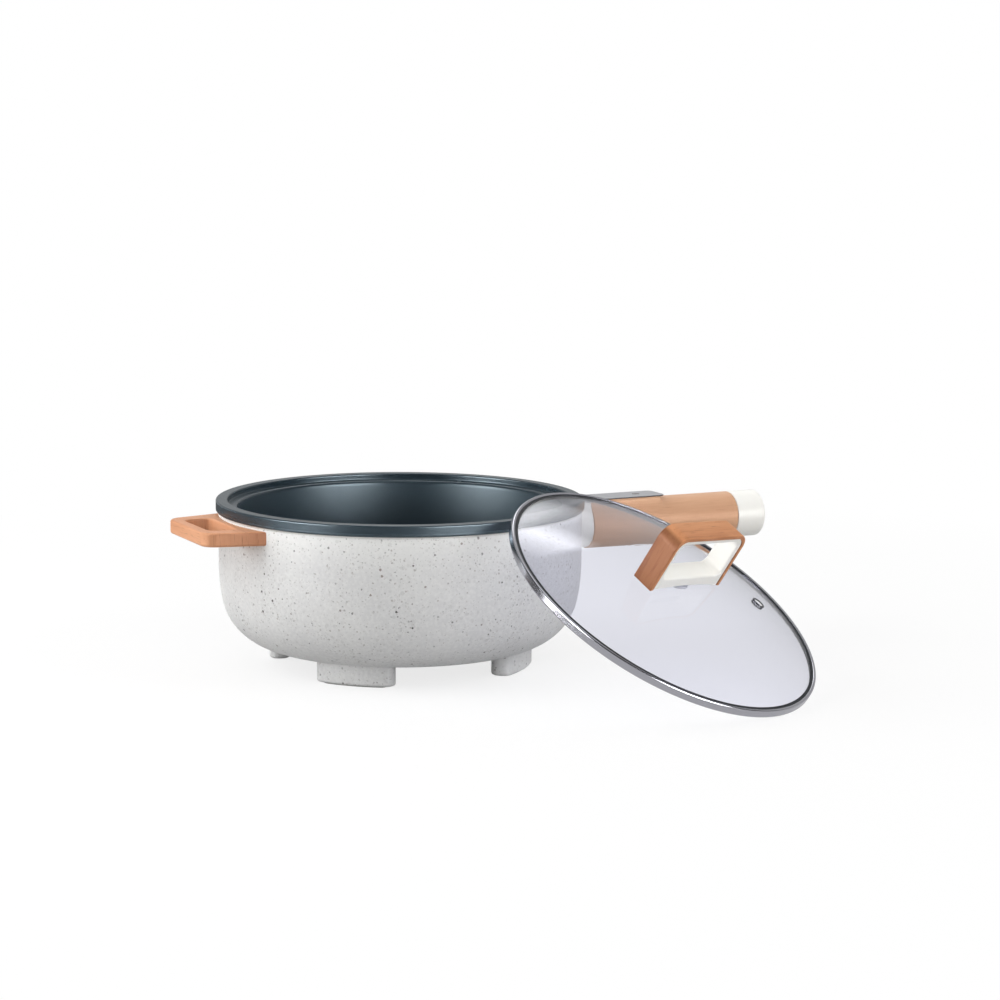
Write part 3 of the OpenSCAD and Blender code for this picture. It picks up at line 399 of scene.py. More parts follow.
pot_section = (
    pot_wall(0, LEDGE_Z - LEDGE_EDGE)
    + arc(LEDGE_R + LEDGE_EDGE, LEDGE_Z - LEDGE_EDGE, LEDGE_EDGE, 175, 90, 6)
    + arc(LIP_R - LEDGE_FILLET, LEDGE_Z + LEDGE_FILLET, LEDGE_FILLET, -90, 0, 4)
    + arc(LIP_R + RIM_EDGE, RIM_TOP - RIM_EDGE, RIM_EDGE, 180, 90, 6)
    + arc(RIM_R - RIM_EDGE, RIM_TOP - RIM_EDGE, RIM_EDGE, 90, 0, 6)
    + arc(RIM_R - RIM_EDGE, RIM_TOP - RIM_BAND + RIM_EDGE, RIM_EDGE, 0, -90, 6)
    + pot_wall(POT_WALL, RIM_TOP - RIM_BAND)[::-1])
pot = lathe("pot", pot_section, row())
pot_finish = Finish("non_stick_coat", Specular_IOR_Level=0.9, Specular_Tint=srgb(222, 240, 250))
grain = pot_finish.noise(2600.0, 1.0)
haze = pot_finish.noise(14.0, 3.0)
rim_gloss = pot_finish.along(pot_finish.here, UPWARD).span((LEDGE_Z - 4) * MM, (LEDGE_Z - 1) * MM)
pot_finish.set(
    Base_Color=pot_finish.mix(grain.span(0.35, 0.75), srgb(34, 45, 52), srgb(42, 54, 62)),
    Metallic=haze * 0.1,
    Roughness=0.42 + haze * 0.08 - rim_gloss * 0.2)
pot_finish.bump(grain, 0.08, 0.2 * MM)
fit(pot, pot_finish.material, "cooker", "pot", "cooking_pot")


# Gasket: a thin ring of pale silicone between the pot's rim and the shell's top edge, which carries
# it. Its outer side is round.
SEAL_H, SEAL_INSIDE, SEAL_SHY = 1.0, 4.5, 0.9
gasket_section = (
    [(SHELL_R - SEAL_INSIDE, SHELL_TOP)]
    + arc(SHELL_R - SEAL_SHY, SHELL_TOP + SEAL_H / 2, SEAL_H / 2, -90, 90, 8)
    + [(SHELL_R - SEAL_INSIDE, SHELL_TOP + SEAL_H)])
gasket = lathe("rim_seal", gasket_section, row())
silicone = Finish("pale_silicone", Specular_IOR_Level=0.4)
dust = silicone.noise(500.0, 2.0)
silicone.set(
    Base_Color=silicone.mix(dust, srgb(248, 247, 243), srgb(242, 240, 236)),
    Roughness=0.5 + dust * 0.2)
fit(gasket, silicone.material, "cooker", "silicone", "rim_gasket")


# Loop handle: a flat bow of moulded plastic with a printed wood grain, screwed to the shell from
# inside. Its edges are rounded, and a slot leaves room for the fingers.
LOOP_END, LOOP_END_HALF, LOOP_ROOT_HALF, LOOP_SUNK = 173.2, 40.07, 50.1, 0.7
LOOP_TOP, LOOP_H, LOOP_CORNER, LOOP_EDGE = 116.0, 10.5, 12.0, 1.8
SLOT_NEAR, SLOT_FAR, SLOT_HALF, SLOT_CORNER, SLOT_EDGE = 143.2, 164.2, 29.0, 7.0, 1.4


def rounded(corners, steps=10):
    """An outline through corners of x, y and radius, with an arc at each."""
    out = []
    before, after = corners[-1:] + corners[:-1], corners[1:] + corners[:1]
    for (px, py, _), (x, y, r), (nx, ny, _) in zip(before, corners, after):
        if r == 0:
            out.append((x, y))
            continue
        here = Vector((x, y))
        back = (Vector((px, py)) - here).normalized()
        on = (Vector((nx, ny)) - here).normalized()
        half = math.acos(max(-1.0, min(1.0, back.dot(on)))) / 2
        centre = here + (back + on).normalized() * (r / math.sin(half))
        first = here + back * (r / math.tan(half)) - centre
        last = here + on * (r / math.tan(half)) - centre
        sweep = math.atan2(first.x * last.y - first.y * last.x, first.dot(last))
        for i in range(steps + 1):
            p = centre + Matrix.Rotation(sweep * i / steps, 2) @ first
            out.append((p.x, p.y))
    return out


def inset(outline, d):
    """An outline moved in by a distance, towards its left side."""
    out = []
    for a, b, c in zip(outline[-1:] + outline[:-1], outline, outline[1:] + outline[:1]):
        u = (Vector(b) - Vector(a)).normalized()
        v = (Vector(c) - Vector(b)).normalized()
        m = Vector((-u.y - v.y, u.x + v.x))
        m = m * (2 / max(m.length_squared, 0.5))
        out.append((b[0] + m.x * d, b[1] + m.y * d))
    return out


def slab(name, outline, low, high, edge, place, hole=None, hole_edge=0.0, steps=5):
    """A plate between two heights, with rounded edges along its outline and its hole."""
    shape = bmesh.new()
    ends = []
    for line, r, sense in ((outline, edge, 1), (hole, hole_edge, -1)):
        if line is None:
            continue
        levels = [(r - x, low + r - y) for x, y in arc(0, 0, r, 90, 0, steps)]
        levels += [(x, low + high - z) for x, z in levels[::-1]]
        loops = []
        for d, z in levels:
            loops.append([shape.verts.new(place @ Vector((x, y, z))) for x, y in inset(line, sense * d)])
        count = len(line)
        for a, b in zip(loops, loops[1:]):
            for k in range(count):
                shape.faces.new((a[k], a[(k + 1) % count], b[(k + 1) % count], b[k]))
        ends.append((loops[0], loops[-1]))
    for end in (0, 1):
        if hole is None:
            shape.faces.new(ends[0][end])
            continue
        edges = []
        for pair in ends:
            loop = pair[end]
            edges += [shape.edges.get((loop[k], loop[(k + 1) % len(loop)])) for k in range(len(loop))]
        bmesh.ops.triangle_fill(shape, edges=edges, use_beauty=True)
    piece = mesh_object(name, shape, sharp=50)
    even = piece.modifiers.new("even_shading", "WEIGHTED_NORMAL")
    even.keep_sharp = True
    return piece


root_r = SHELL_R - LOOP_SUNK
root_x = math.sqrt(root_r ** 2 - LOOP_ROOT_HALF ** 2)
root_spread = math.degrees(math.asin(LOOP_ROOT_HALF / root_r))
loop_outline = rounded([
    (-root_x, LOOP_ROOT_HALF, 0),
    (-LOOP_END, LOOP_END_HALF, LOOP_CORNER),
    (-LOOP_END, -LOOP_END_HALF, LOOP_CORNER),
    (-root_x, -LOOP_ROOT_HALF, 0)], 14)
loop_outline += arc(0, 0, root_r, 180 + root_spread, 180 - root_spread, 24)[1:-1]
slot_outline = rounded([
    (-SLOT_FAR, SLOT_HALF, SLOT_CORNER),
    (-SLOT_FAR, -SLOT_HALF, SLOT_CORNER),
    (-SLOT_NEAR, -SLOT_HALF, SLOT_CORNER),
    (-SLOT_NEAR, SLOT_HALF, SLOT_CORNER)])
loop = slab("loop_handle", loop_outline, LOOP_TOP - LOOP_H, LOOP_TOP, LOOP_EDGE, row(),
            slot_outline, SLOT_EDGE)


def turned_by(angle, axis):
    """A turn in degrees about an axis."""
    return Matrix.Rotation(math.radians(angle), 4, axis)


def wood_look(name, light, dark, deep, place, upright=None, shade=0.0, strong=1.0, root=None):
    """Printed wood: wide soft bands, fine streaks and short dark pores along a frame's x axis. Faces
    that look along the second frame's y axis take the grain of that one instead and carry painted
    shade by a share, which deepens between two places along x, towards the shell."""
    finish = Finish(name, Specular_IOR_Level=0.35)

    def grain_in(grain_frame):
        return (finish.noise(1.0, 3.0, finish.turned(grain_frame, (9.0, 75.0, 75.0))),
                finish.noise(1.0, 4.0, finish.turned(grain_frame, (22.0, 520.0, 520.0)), 0.65),
                finish.noise(1.0, 1.0, finish.turned(grain_frame, (70.0, 1300.0, 1300.0))))

    wide, streak, pore = grain_in(place)
    line = 0.0
    # Painted shade: faces that look along the second frame's y axis are mixed towards the deep colour, as
    # if less light fell on them.
    if upright:
        share = finish.facing(upright.to_3x3().col[1].normalized()).size().span(0.6, 0.8)
        both_ways = zip((wide, streak, pore), grain_in(upright))
        wide, streak, pore = (a + (b - a) * share for a, b in both_ways)
        # Painted shade: it deepens along x towards the shell.
        if root:
            shade = shade + finish.along(finish.here, (1.0, 0.0, 0.0)).span(*root) * 0.42
        line = share * shade
    marks = pore.span(0.64, 0.74) * 0.4 + wide.span(0.6, 0.66) * 0.14 + streak.span(0.6, 0.72) * 0.22
    line = line + marks * strong
    colour = finish.mix((wide * 0.6 + streak * 0.4).span(0.33, 0.67), srgb(*light), srgb(*dark))
    finish.set(Base_Color=finish.mix(line, colour, srgb(*deep)), Roughness=0.42 + streak * 0.12)
    finish.bump(streak - line * 0.6, 0.1, 0.3 * MM)
    return finish.material


# Painted shade on the loop's faces that look along y, deepening towards the shell.
loop_wood = wood_look(
    "wood_look_loop", (224, 166, 128), (207, 145, 106), (136, 80, 50),
    turned_by(90, "Z"), turned_by(-90, "Y"), shade=0.18,
    root=((POT_X - LOOP_END + 8) * MM, (POT_X - root_x) * MM))
fit(loop, loop_wood, "cooker", "wood_look", "side_handle")


# Stick handle: a cream collar on the shell, then a wood-look sleeve over the core. Both rise to a flat
# seat on top, which carries the control panel and dies into the round of the sleeve at its end.
AXIS_Z, GRIP_R, COLLAR_R, BORE_R = 96.0, 18.5, 17.7, 15.6
COLLAR_SUNK, COLLAR_END, COLLAR_EDGE, GRIP_END, GRIP_EDGE = 2.4, 158.2, 0.5, 288.2, 0.7
SEAT_HALF, SEAT_RISE, SEAT_CORNER, SEAT_BLEND = 12.4, 20.45, 1.4, 7.0
SEAT_END, SEAT_FADE = 218.6, 6.0
along_x = Matrix(((0, 0, 1, 0), (1, 0, 0, 0), (0, 1, 0, 0), (0, 0, 0, 1)))
handle_place = row(0, 0, AXIS_Z) @ along_x


def soft_least(a, b, k):
    """The lesser of two lengths, rounded where they meet."""
    h = max(k - abs(a - b), 0.0) / k
    return min(a, b) - h * h * k / 4


def seated(r, seat, x, points=224):
    """A round section with a share of the flat seat on its top."""
    ring = []
    for k in range(points):
        a = 2 * math.pi * k / points
        reach = r
        if seat > 0 and math.cos(a) > 0.3:
            across = SEAT_HALF / max(abs(math.sin(a)), 1e-6)
            box = soft_least(across, SEAT_RISE / math.cos(a), SEAT_CORNER)
            reach = r + seat * (-soft_least(-box, -r, SEAT_BLEND) - r)
        ring.append((reach * math.sin(a), reach * math.cos(a), x))
    return ring


def sleeve_rings(stations, r, edge):
    """Rings along a sleeve with eased ends, then back through its bore."""
    first, last = stations[0][0], stations[-1][0]
    rings = []
    for x, seat in stations:
        cut = max(edge - (x - first), edge - (last - x), 0.0)
        drop = edge - math.sqrt(max(edge ** 2 - cut ** 2, 0.0))
        rings.append([(y * (1 - drop / r), z * (1 - drop / r), x) for y, z, x in seated(r, seat, x)])
    for x in (last, first):
        rings.append([(BORE_R * y / r, BORE_R * z / r, x) for y, z, _ in seated(r, 0, x)])
    return rings


def eased_ends(first, last, edge, marks):
    """Stations along a sleeve, close together at its rounded ends and at the marks between."""
    ends = [edge * t for t in (0.0, 0.12, 0.3, 0.55, 1.0)]
    between = [x for x in marks if first + edge < x < last - edge]
    return [first + e for e in ends] + between + [last - e for e in ends[::-1]]


def seat_share(x):
    """How much of the seat's rise is left at a place along the sleeve."""
    t = min(max((SEAT_END + SEAT_FADE - x) / SEAT_FADE, 0.0), 1.0)
    return t * t * (3 - 2 * t)


collar_marks = [140 + 2 * i for i in range(10)]
collar_x = eased_ends(SHELL_R - COLLAR_SUNK, COLLAR_END, COLLAR_EDGE, collar_marks)
collar_rings = sleeve_rings([(x, 1.0) for x in collar_x], COLLAR_R, COLLAR_EDGE)
collar = skin("handle_collar", collar_rings, handle_place, closed=True)
sleeve_marks = (
    [160 + 4 * i for i in range(15)]
    + [SEAT_END + 0.5 * i for i in range(13)]
    + [226 + 4 * i for i in range(16)])
sleeve_x = eased_ends(COLLAR_END, GRIP_END, GRIP_EDGE, sleeve_marks)
grip_rings = sleeve_rings([(x, seat_share(x)) for x in sleeve_x], GRIP_R, GRIP_EDGE)
sleeve = skin("grip_sleeve", grip_rings, handle_place, closed=True)


def cream_plastic():
    """Smooth moulded plastic with a trace of grain and an uneven gloss."""
    finish = Finish("cream_plastic", Specular_IOR_Level=0.45)
    cloud = finish.noise(30.0, 2.0)
    finish.set(
        Base_Color=finish.mix(cloud.span(0.3, 0.7), srgb(253, 252, 247), srgb(249, 247, 241)),
        Roughness=0.36 + cloud * 0.12)
    finish.bump(finish.noise(1800.0, 1.0), 0.06, 0.3 * MM)
    return finish.material


cream = cream_plastic()
grip_grain = Matrix.Translation((0.05, 0.08, AXIS_Z * MM))
grip_wood = wood_look(
    "wood_look_grip", (221, 175, 141), (206, 157, 123), (150, 102, 74), grip_grain, strong=0.4)
fit(collar, cream, "cooker", "cream", "handle_collar")
fit(sleeve, grip_wood, "cooker", "wood_look", "handle_sleeve")


# Control panel: a thin dark plate on the handle's seat, from the shell's wall out, with round outer
# corners and a small smoked window for the heating lamp. Its top has a satin finish with a painted
# reflection in pale grey, and its sides are near black with painted shade.
PANEL_END, PANEL_HALF, PANEL_CORNER, PANEL_EDGE = 224.2, 13.0, 5.0, 0.4
PANEL_LOW, PANEL_HIGH, PANEL_GAP = 116.5, 117.5, 0.3
LENS_X, LENS_R, LENS_EDGE = 204.2, 3.0, 0.05
panel_spread = math.degrees(math.asin(PANEL_HALF / (SHELL_R + PANEL_GAP)))
panel_outline = arc(0, 0, SHELL_R + PANEL_GAP, panel_spread, -panel_spread, 12) + rounded([
    (PANEL_END - 20, -PANEL_HALF, 0),
    (PANEL_END, -PANEL_HALF, PANEL_CORNER),
    (PANEL_END, PANEL_HALF, PANEL_CORNER),
    (PANEL_END - 20, PANEL_HALF, 0)])
window = arc(LENS_X, 0, LENS_R, 0, 350, 35)
panel = slab("control_panel", panel_outline, PANEL_LOW, PANEL_HIGH, PANEL_EDGE, row(), window, LENS_EDGE)
panel_finish = Finish("panel_painted_sheen", Specular_IOR_Level=0.5, Coat_Roughness=0.12)
smear = panel_finish.noise(26.0, 3.0)
panel_painted_sheen = panel_finish.mix(smear, srgb(158, 159, 164), srgb(166, 167, 172))
# Painted reflection on the upward top, in pale grey, and painted shade on the sides, near black.
panel_finish.set(
    Base_Color=panel_finish.mix(panel_finish.facing(UPWARD).span(0.7, 0.95), srgb(40, 42, 46), panel_painted_sheen),
    Roughness=0.3 + smear * 0.12,
    Coat_Weight=0.2 + smear * 0.1)
fit(panel, panel_finish.material, "cooker", "panel", "control_panel")
lens_finish = Finish("smoked_window", Roughness=0.12, Coat_Weight=0.4, Specular_IOR_Level=0.5)
glow = lens_finish.noise(700.0, 1.0)
lens_finish.set(Base_Color=lens_finish.mix(glow, srgb(112, 104, 106), srgb(104, 96, 99)))


# Control knob: the cream end of the handle, a moulded cup with a soft outer edge, pushed on the shaft
# of the switch, which it turns.
KNOB_START, KNOB_END, KNOB_EDGE, KNOB_WALL, KNOB_FACE, KNOB_EASE = 288.7, 313.7, 2.4, 2.2, 3.0, 0.5
knob_section = (
    [(0.0, KNOB_END - KNOB_FACE), (GRIP_R - KNOB_WALL, KNOB_END - KNOB_FACE)]
    + [(GRIP_R - KNOB_WALL, KNOB_START)]
    + arc(GRIP_R - KNOB_EASE, KNOB_START + KNOB_EASE, KNOB_EASE, -90, 0, 4)
    + arc(GRIP_R - KNOB_EDGE, KNOB_END - KNOB_EDGE, KNOB_EDGE, 0, 90, 10)
    + [(0.0, KNOB_END)])
knob = lathe("control_knob", knob_section, handle_place, 160)
fit(knob, cream, "knob", "cream", "control_knob")


# Lid: a shallow dome of clear glass with a faint cool tint, leaning on the pot's rim with its low edge
# on the table. Its own frame has z up through the middle of the glass.
LID_R, GLASS_R, GLASS_HOLE, LID_TURNS = 125.0, 123.9, 4.0, 224
DOME_Z, DOME_IN, DOME_OUT, GLASS_TOP = -372.83, 393.78, 397.28, 24.45
LID_AWAY, LID_SIDE, LID_HEIGHT = 226.892, math.radians(-57.5), 67.1625
LID_TILT, LID_LEAN, LID_TURN = 32.5, -58.5, 81.0
lid_spot = row(LID_AWAY * math.cos(LID_SIDE), LID_AWAY * math.sin(LID_SIDE), LID_HEIGHT)
lid_place = lid_spot @ turned_by(LID_LEAN, "Z") @ turned_by(LID_TILT, "Y") @ turned_by(LID_TURN, "Z")


def dome(r, radius):
    """Height of a dome's face at a distance from the lid's middle."""
    return DOME_Z + math.sqrt(radius ** 2 - r ** 2)


reach = [GLASS_HOLE + (GLASS_R - GLASS_HOLE) * i / 60 for i in range(61)]
glass_section = [(r, dome(r, DOME_IN)) for r in reach] + [(r, dome(r, DOME_OUT)) for r in reach[::-1]]
glass = lathe("lid_glass", glass_section, lid_place, LID_TURNS)
glass_finish = Finish("lid_glass", Transmission_Weight=1.0, IOR=1.46)
film = glass_finish.noise(9.0, 2.0)
glass_finish.set(
    Base_Color=glass_finish.mix(film, srgb(235, 236, 245), srgb(233, 234, 244)),
    Roughness=film * 0.02)
fit(glass, glass_finish.material, "lid", "glass", "lid_glass")
glass.visible_shadow = False


# Lid band: a strip of polished steel rolled over the glass's edge, with a lip on top and a flange below.
# The glass is bedded on the flange in a thin dark seal, which shows through it. A dark bead inside the lip
# is partly seal and partly painted shade.
BAND_IN, BAND_H, BAND_SHEET, BAND_EDGE, FLANGE_EDGE = 120.5, 6.4, 0.8, 1.3, 0.4
LIP_IN, LIP_TOP, LIP_EDGE = 122.6, 6.0, 0.25
BED_IN, BEAD_IN, SEAL_SKIN = 120.3, 120.2, 0.02
band_section = (
    arc(BAND_IN + FLANGE_EDGE, FLANGE_EDGE, FLANGE_EDGE, 180, 270, 4)
    + arc(LID_R - BAND_EDGE, BAND_EDGE, BAND_EDGE, -90, 0, 10)
    + arc(LID_R - BAND_EDGE, BAND_H - BAND_EDGE, BAND_EDGE, 0, 70, 10)
    + arc(LIP_IN + LIP_EDGE, LIP_TOP - LIP_EDGE, LIP_EDGE, 110, 180, 6)
    + [(LIP_IN, LIP_TOP - 0.4), (LID_R - BAND_SHEET, BAND_H - BAND_SHEET - 0.6)]
    + [(LID_R - BAND_SHEET, BAND_SHEET), (BAND_IN, BAND_SHEET)])
band = lathe("lid_band", band_section, lid_place, 800)
polished = Finish("polished_steel", Metallic=1.0)
brush = polished.noise(1.0, 2.0, polished.turned(lid_place, (60.0, 60.0, 900.0)))
polished.set(
    Base_Color=polished.mix(brush, srgb(196, 196, 203), srgb(188, 188, 196)),
    Roughness=0.14 + brush * 0.03)
fit(band, polished.material, "lid", "polished_steel", "lid_band")
bedding_section = [
    (BED_IN, BAND_SHEET + SEAL_SKIN), (GLASS_R - 0.1, BAND_SHEET + SEAL_SKIN),
    (GLASS_R - 0.1, BAND_SHEET + 0.1), (BED_IN, dome(BED_IN, DOME_IN) - 0.05)]
bedding = lathe("lid_bedding", bedding_section, lid_place, LID_TURNS)
# The bead on the glass inside the lip is partly a seal and partly painted shade, where the lip shades the
# glass.
bead_section = [
    (BEAD_IN, dome(BEAD_IN, DOME_OUT) + SEAL_SKIN), (LIP_IN + 0.1, dome(LIP_IN, DOME_OUT) + SEAL_SKIN),
    (LIP_IN + 0.1, dome(LIP_IN, DOME_OUT) + 0.3), (BEAD_IN, dome(BEAD_IN, DOME_OUT) + 0.08)]
bead = lathe("lid_bead", bead_section, lid_place, LID_TURNS)
seal_and_shade_finish = Finish("dark_seal_and_painted_shade", Specular_IOR_Level=0.3)
crumb = seal_and_shade_finish.noise(800.0, 2.0)
seal_and_shade_finish.set(
    Base_Color=seal_and_shade_finish.mix(crumb, srgb(44, 46, 50), srgb(34, 36, 40)),
    Roughness=0.5 + crumb * 0.2)
for piece in (bedding, bead):
    fit(piece, seal_and_shade_finish.material, "lid", "silicone", "lid_band")


# Steam vent: a small chromed eyelet pressed through the glass near the handle's right end. Its roll is
# painted dark, a painted reflection, and its bore is plain white, a painted highlight.
VENT_AT, VENT_TURN, VENT_R, VENT_BORE, VENT_NECK, VENT_LONG = 83.5, -17.0, 5.5, 2.1, 3.4, 4.3
VENT_ROLL, VENT_CURL, VENT_SKIN = 0.6, 0.3, 0.05
dome_middle = lid_place @ turned_by(VENT_TURN, "Z") @ Matrix.Translation((0, 0, DOME_Z))
vent_lean = Matrix.Rotation(math.asin(VENT_AT / DOME_OUT), 4, "Y")
vent_place = dome_middle @ vent_lean @ Matrix.Translation((0, 0, DOME_OUT))
curl_z = VENT_CURL + VENT_SKIN - VENT_LONG
vent_section = (
    [(VENT_BORE, -VENT_ROLL), (VENT_R - 1.6, 1.5 * VENT_ROLL)]
    + arc(VENT_R - 0.8, VENT_ROLL, VENT_ROLL, 140, -40, 8)
    + [(VENT_NECK, 2 * VENT_SKIN), (VENT_NECK, curl_z + VENT_CURL)]
    + arc(VENT_R - 0.7, curl_z, VENT_CURL, 90, -90, 4)
    + [(VENT_BORE, -VENT_LONG)])
vent = lathe("steam_vent", vent_section, vent_place, 64)
chrome = Finish("chrome")
wear = chrome.noise(300.0, 2.0)
from_bore = chrome.far(chrome.turned(vent_place, (1.0, 1.0, 0.0)))
rolled = from_bore.span((VENT_R - 2.2) * MM, (VENT_R - 1.7) * MM)
roll_painted_dark = chrome.mix(wear, srgb(88, 88, 93), srgb(74, 74, 80))
# Painted highlight: round the bore the colour is plain white and not metal; painted reflection: the roll is
# a dark chrome.
chrome.set(
    Base_Color=chrome.mix(rolled, srgb(240, 240, 242), roll_painted_dark),
    Metallic=rolled,
    Roughness=0.12 + wear * 0.06)
fit(vent, chrome.material, "lid", "polished_steel", "vent_eyelet")


# Lid handle: a cream frame with a hand hole, moulded in one, and a wood-look strap bent over its top
# and ends. It stands on the glass and is held by one screw from below.
BRIDGE_HALF, BRIDGE_H, BRIDGE_W, BRIDGE_CORNER, BRIDGE_OFF = 41.5, 45.0, 18.5, 11.0, 0.35
STRAP_T, STRAP_EDGE, STRAP_FIT, STRAP_PROUD = 3.2, 0.7, 0.04, 0.5
FRAME_T, FRAME_EDGE, BASE_H, HAND_CORNER, HAND_EDGE = 3.5, 0.9, 8.0, 5.0, 1.6
bridge_place = lid_place @ Matrix.Translation((0, 0, GLASS_TOP)) @ turned_by(90, "X")


def on_glass(x):
    """Height of the handle's foot above the glass's top, where it follows the dome."""
    return dome(abs(x), DOME_OUT) - GLASS_TOP + BRIDGE_OFF


def bridge_top(half, top, corner, steps=10):
    """The upper side of the bridge with its two corners, from right to left."""
    low = top / 2
    return rounded([(half, top, corner), (-half, top, corner), (-half, low, 0), (half, low, 0)], steps)[:-2]


frame_half, frame_top = BRIDGE_HALF - STRAP_T - STRAP_FIT, BRIDGE_H - STRAP_T - STRAP_FIT
foot_line = [-frame_half + 2 * frame_half * i / 16 for i in range(17)]
frame_outline = [(x, on_glass(x)) for x in foot_line]
frame_outline += bridge_top(frame_half, frame_top, BRIDGE_CORNER - STRAP_T)
hand_half, hand_top = BRIDGE_HALF - STRAP_T - FRAME_T, BRIDGE_H - STRAP_T - FRAME_T
hand_outline = rounded([
    (-hand_half, BASE_H, HAND_CORNER), (hand_half, BASE_H, HAND_CORNER),
    (hand_half, hand_top, HAND_CORNER), (-hand_half, hand_top, HAND_CORNER)])
frame_side = BRIDGE_W / 2 - STRAP_PROUD
handle_frame = slab("lid_handle_frame", frame_outline, -frame_side, frame_side, FRAME_EDGE,
                    bridge_place, hand_outline, HAND_EDGE)
fit(handle_frame, cream, "lid", "cream", "lid_handle_frame")

strap_half = BRIDGE_HALF - STRAP_T
strap_outline = [(strap_half, on_glass(strap_half)), (BRIDGE_HALF, on_glass(BRIDGE_HALF))]
strap_outline += bridge_top(BRIDGE_HALF, BRIDGE_H, BRIDGE_CORNER, 12)
strap_outline += [(-BRIDGE_HALF, on_glass(BRIDGE_HALF)), (-strap_half, on_glass(strap_half))]
strap_outline += bridge_top(strap_half, BRIDGE_H - STRAP_T, BRIDGE_CORNER - STRAP_T, 12)[::-1]
strap = slab("lid_handle_strap", strap_outline, -BRIDGE_W / 2, BRIDGE_W / 2, STRAP_EDGE, bridge_place)
down_strap = lid_place @ Matrix(((0, 1, 0, 0), (0, 0, 1, 0), (1, 0, 0, 0), (0, 0, 0, 1)))
# Painted shade on the strap's legs, darker than its top.
strap_wood = wood_look(
    "wood_look_strap", (214, 152, 107), (193, 127, 83), (118, 68, 40), lid_place, down_strap, shade=0.7)
fit(strap, strap_wood, "lid", "wood_look", "lid_handle_strap")
for piece in (handle_frame, strap):
    piece.visible_glossy = False


# Power inlet: a black three-pin socket in its flange, let into a flat on the back of the shell. The flat
# is part of the shell's moulding.
INLET_Y, INLET_Z, FLANGE_W, FLANGE_H, FLANGE_MARGIN = 135.4, 43.0, 44.1, 26.1, 4.0
FLAT_DEPTH, FLAT_CORNER, FLAT_EDGE = 22.0, 6.0, 1.2
OPENING_W, OPENING_H, OPENING_CORNER, OPENING_EDGE = 28.5, 20.5, 3.0, 0.3
INLET_EDGE, PIN_EDGE = 0.5, 0.3
back = Matrix(((-1, 0, 0, 0), (0, 0, 1, 0), (0, 1, 0, 0), (0, 0, 0, 1)))


def oblong(w, h, r):
    """A rectangle with round corners about the origin."""
    return rounded([(-w / 2, -h / 2, r), (w / 2, -h / 2, r), (w / 2, h / 2, r), (-w / 2, h / 2, r)], 8)


flat_outline = oblong(FLANGE_W + FLANGE_MARGIN, FLANGE_H + FLANGE_MARGIN, FLAT_CORNER)
opening = oblong(OPENING_W, OPENING_H, OPENING_CORNER)
flat = slab("inlet_flat", flat_outline, -FLAT_DEPTH, 0.0, FLAT_EDGE, row(0, INLET_Y, INLET_Z) @ back,
            opening, OPENING_EDGE)
fit(flat, shell_finish, "cooker", "shell", "outer_shell")


def eased_copy(node, edge):
    """A copy of a CAD solid with its faces joined and its edges eased."""
    shape = bmesh.new()
    shape.from_mesh(nodes[node].data)
    bmesh.ops.remove_doubles(shape, verts=shape.verts, dist=2e-6)
    bmesh.ops.dissolve_limit(shape, angle_limit=math.radians(1), verts=shape.verts, edges=shape.edges)
    piece = mesh_object(node, shape, sharp=30)
    ease = piece.modifiers.new("eased_edges", "BEVEL")
    ease.width = edge * MM
    ease.segments = 3
    ease.limit_method = "ANGLE"
    ease.angle_limit = math.radians(40)
    ease.harden_normals = True
    return piece


def moulded(name, light, dark, rough):
    """Plain moulded plastic, rubber or fired clay, with a fine grain."""
    finish = Finish(name, Specular_IOR_Level=0.4)
    grain = finish.noise(900.0, 2.0)
    finish.set(Base_Color=finish.mix(grain, srgb(*light), srgb(*dark)), Roughness=rough + grain * 0.1)
    finish.bump(grain, 0.1, 0.3 * MM)
    return finish.material


def metal(name, light, dark, rough):
    """Bare metal with faint rolling marks."""
    finish = Finish(name, Metallic=1.0)
    mark = finish.noise(1.0, 3.0, finish.turned(Matrix(), (40.0, 900.0, 900.0)))
    finish.set(Base_Color=finish.mix(mark, srgb(*light), srgb(*dark)), Roughness=rough + mark * 0.15)
    return finish.material


black_plastic = moulded("black_plastic", (38, 38, 40), (30, 30, 32), 0.38)
brass = metal("brass", (200, 168, 96), (184, 150, 82), 0.26)
fit(eased_copy("power_inlet", INLET_EDGE), black_plastic, "cooker", "dark_plastic", "power_inlet")
fit(eased_copy("inlet_pins", PIN_EDGE), brass, "cooker", "brass", "inlet_pins")


# Bottom cover: a plate of the shell's plastic over the opening below, with a fan of vent slots, held
# by four screws. Four more, further out, reach the studs under the pot. Each head is crossed.
COVER_EDGE, COVER_T, COVER_RING, STUD_RING = 0.3, 2.0, 65.0, 78.0
HEAD_R, HEAD_H = 3.6, 2.2
fit(eased_copy("bottom_cover", COVER_EDGE), shell_finish, "cooker", "shell", "bottom_cover")


def screw_head(z):
    """A pan head with a cross cut into it, its face at a height and its back above."""
    arm, half = 0.52 * HEAD_R, 0.11 * HEAD_R
    place = millimetres @ Matrix.Translation((0, 0, z))
    cross = []
    for across, up_by in ((1, 0), (0, 1), (-1, 0), (0, -1)):
        for x, y in ((half, -half), (arm, -half), (arm, half)):
            cross.append((x * across - y * up_by, x * up_by + y * across))
    head = slab("head", arc(0, 0, HEAD_R, 0, 350, 35), 0.0, HEAD_H, 0.35 * HEAD_H, place,
                cross, 0.04 * HEAD_R, steps=3)
    floor_disc = slab("head_floor", arc(0, 0, 0.6 * HEAD_R, 0, 350, 35), 0.5 * HEAD_H, 0.8 * HEAD_H,
                      0.05 * HEAD_H, place, steps=1)
    shape = bmesh.new()
    for part in (head, floor_disc):
        shape.from_mesh(part.data)
        bpy.data.objects.remove(part)
    return mesh_object("head", shape)


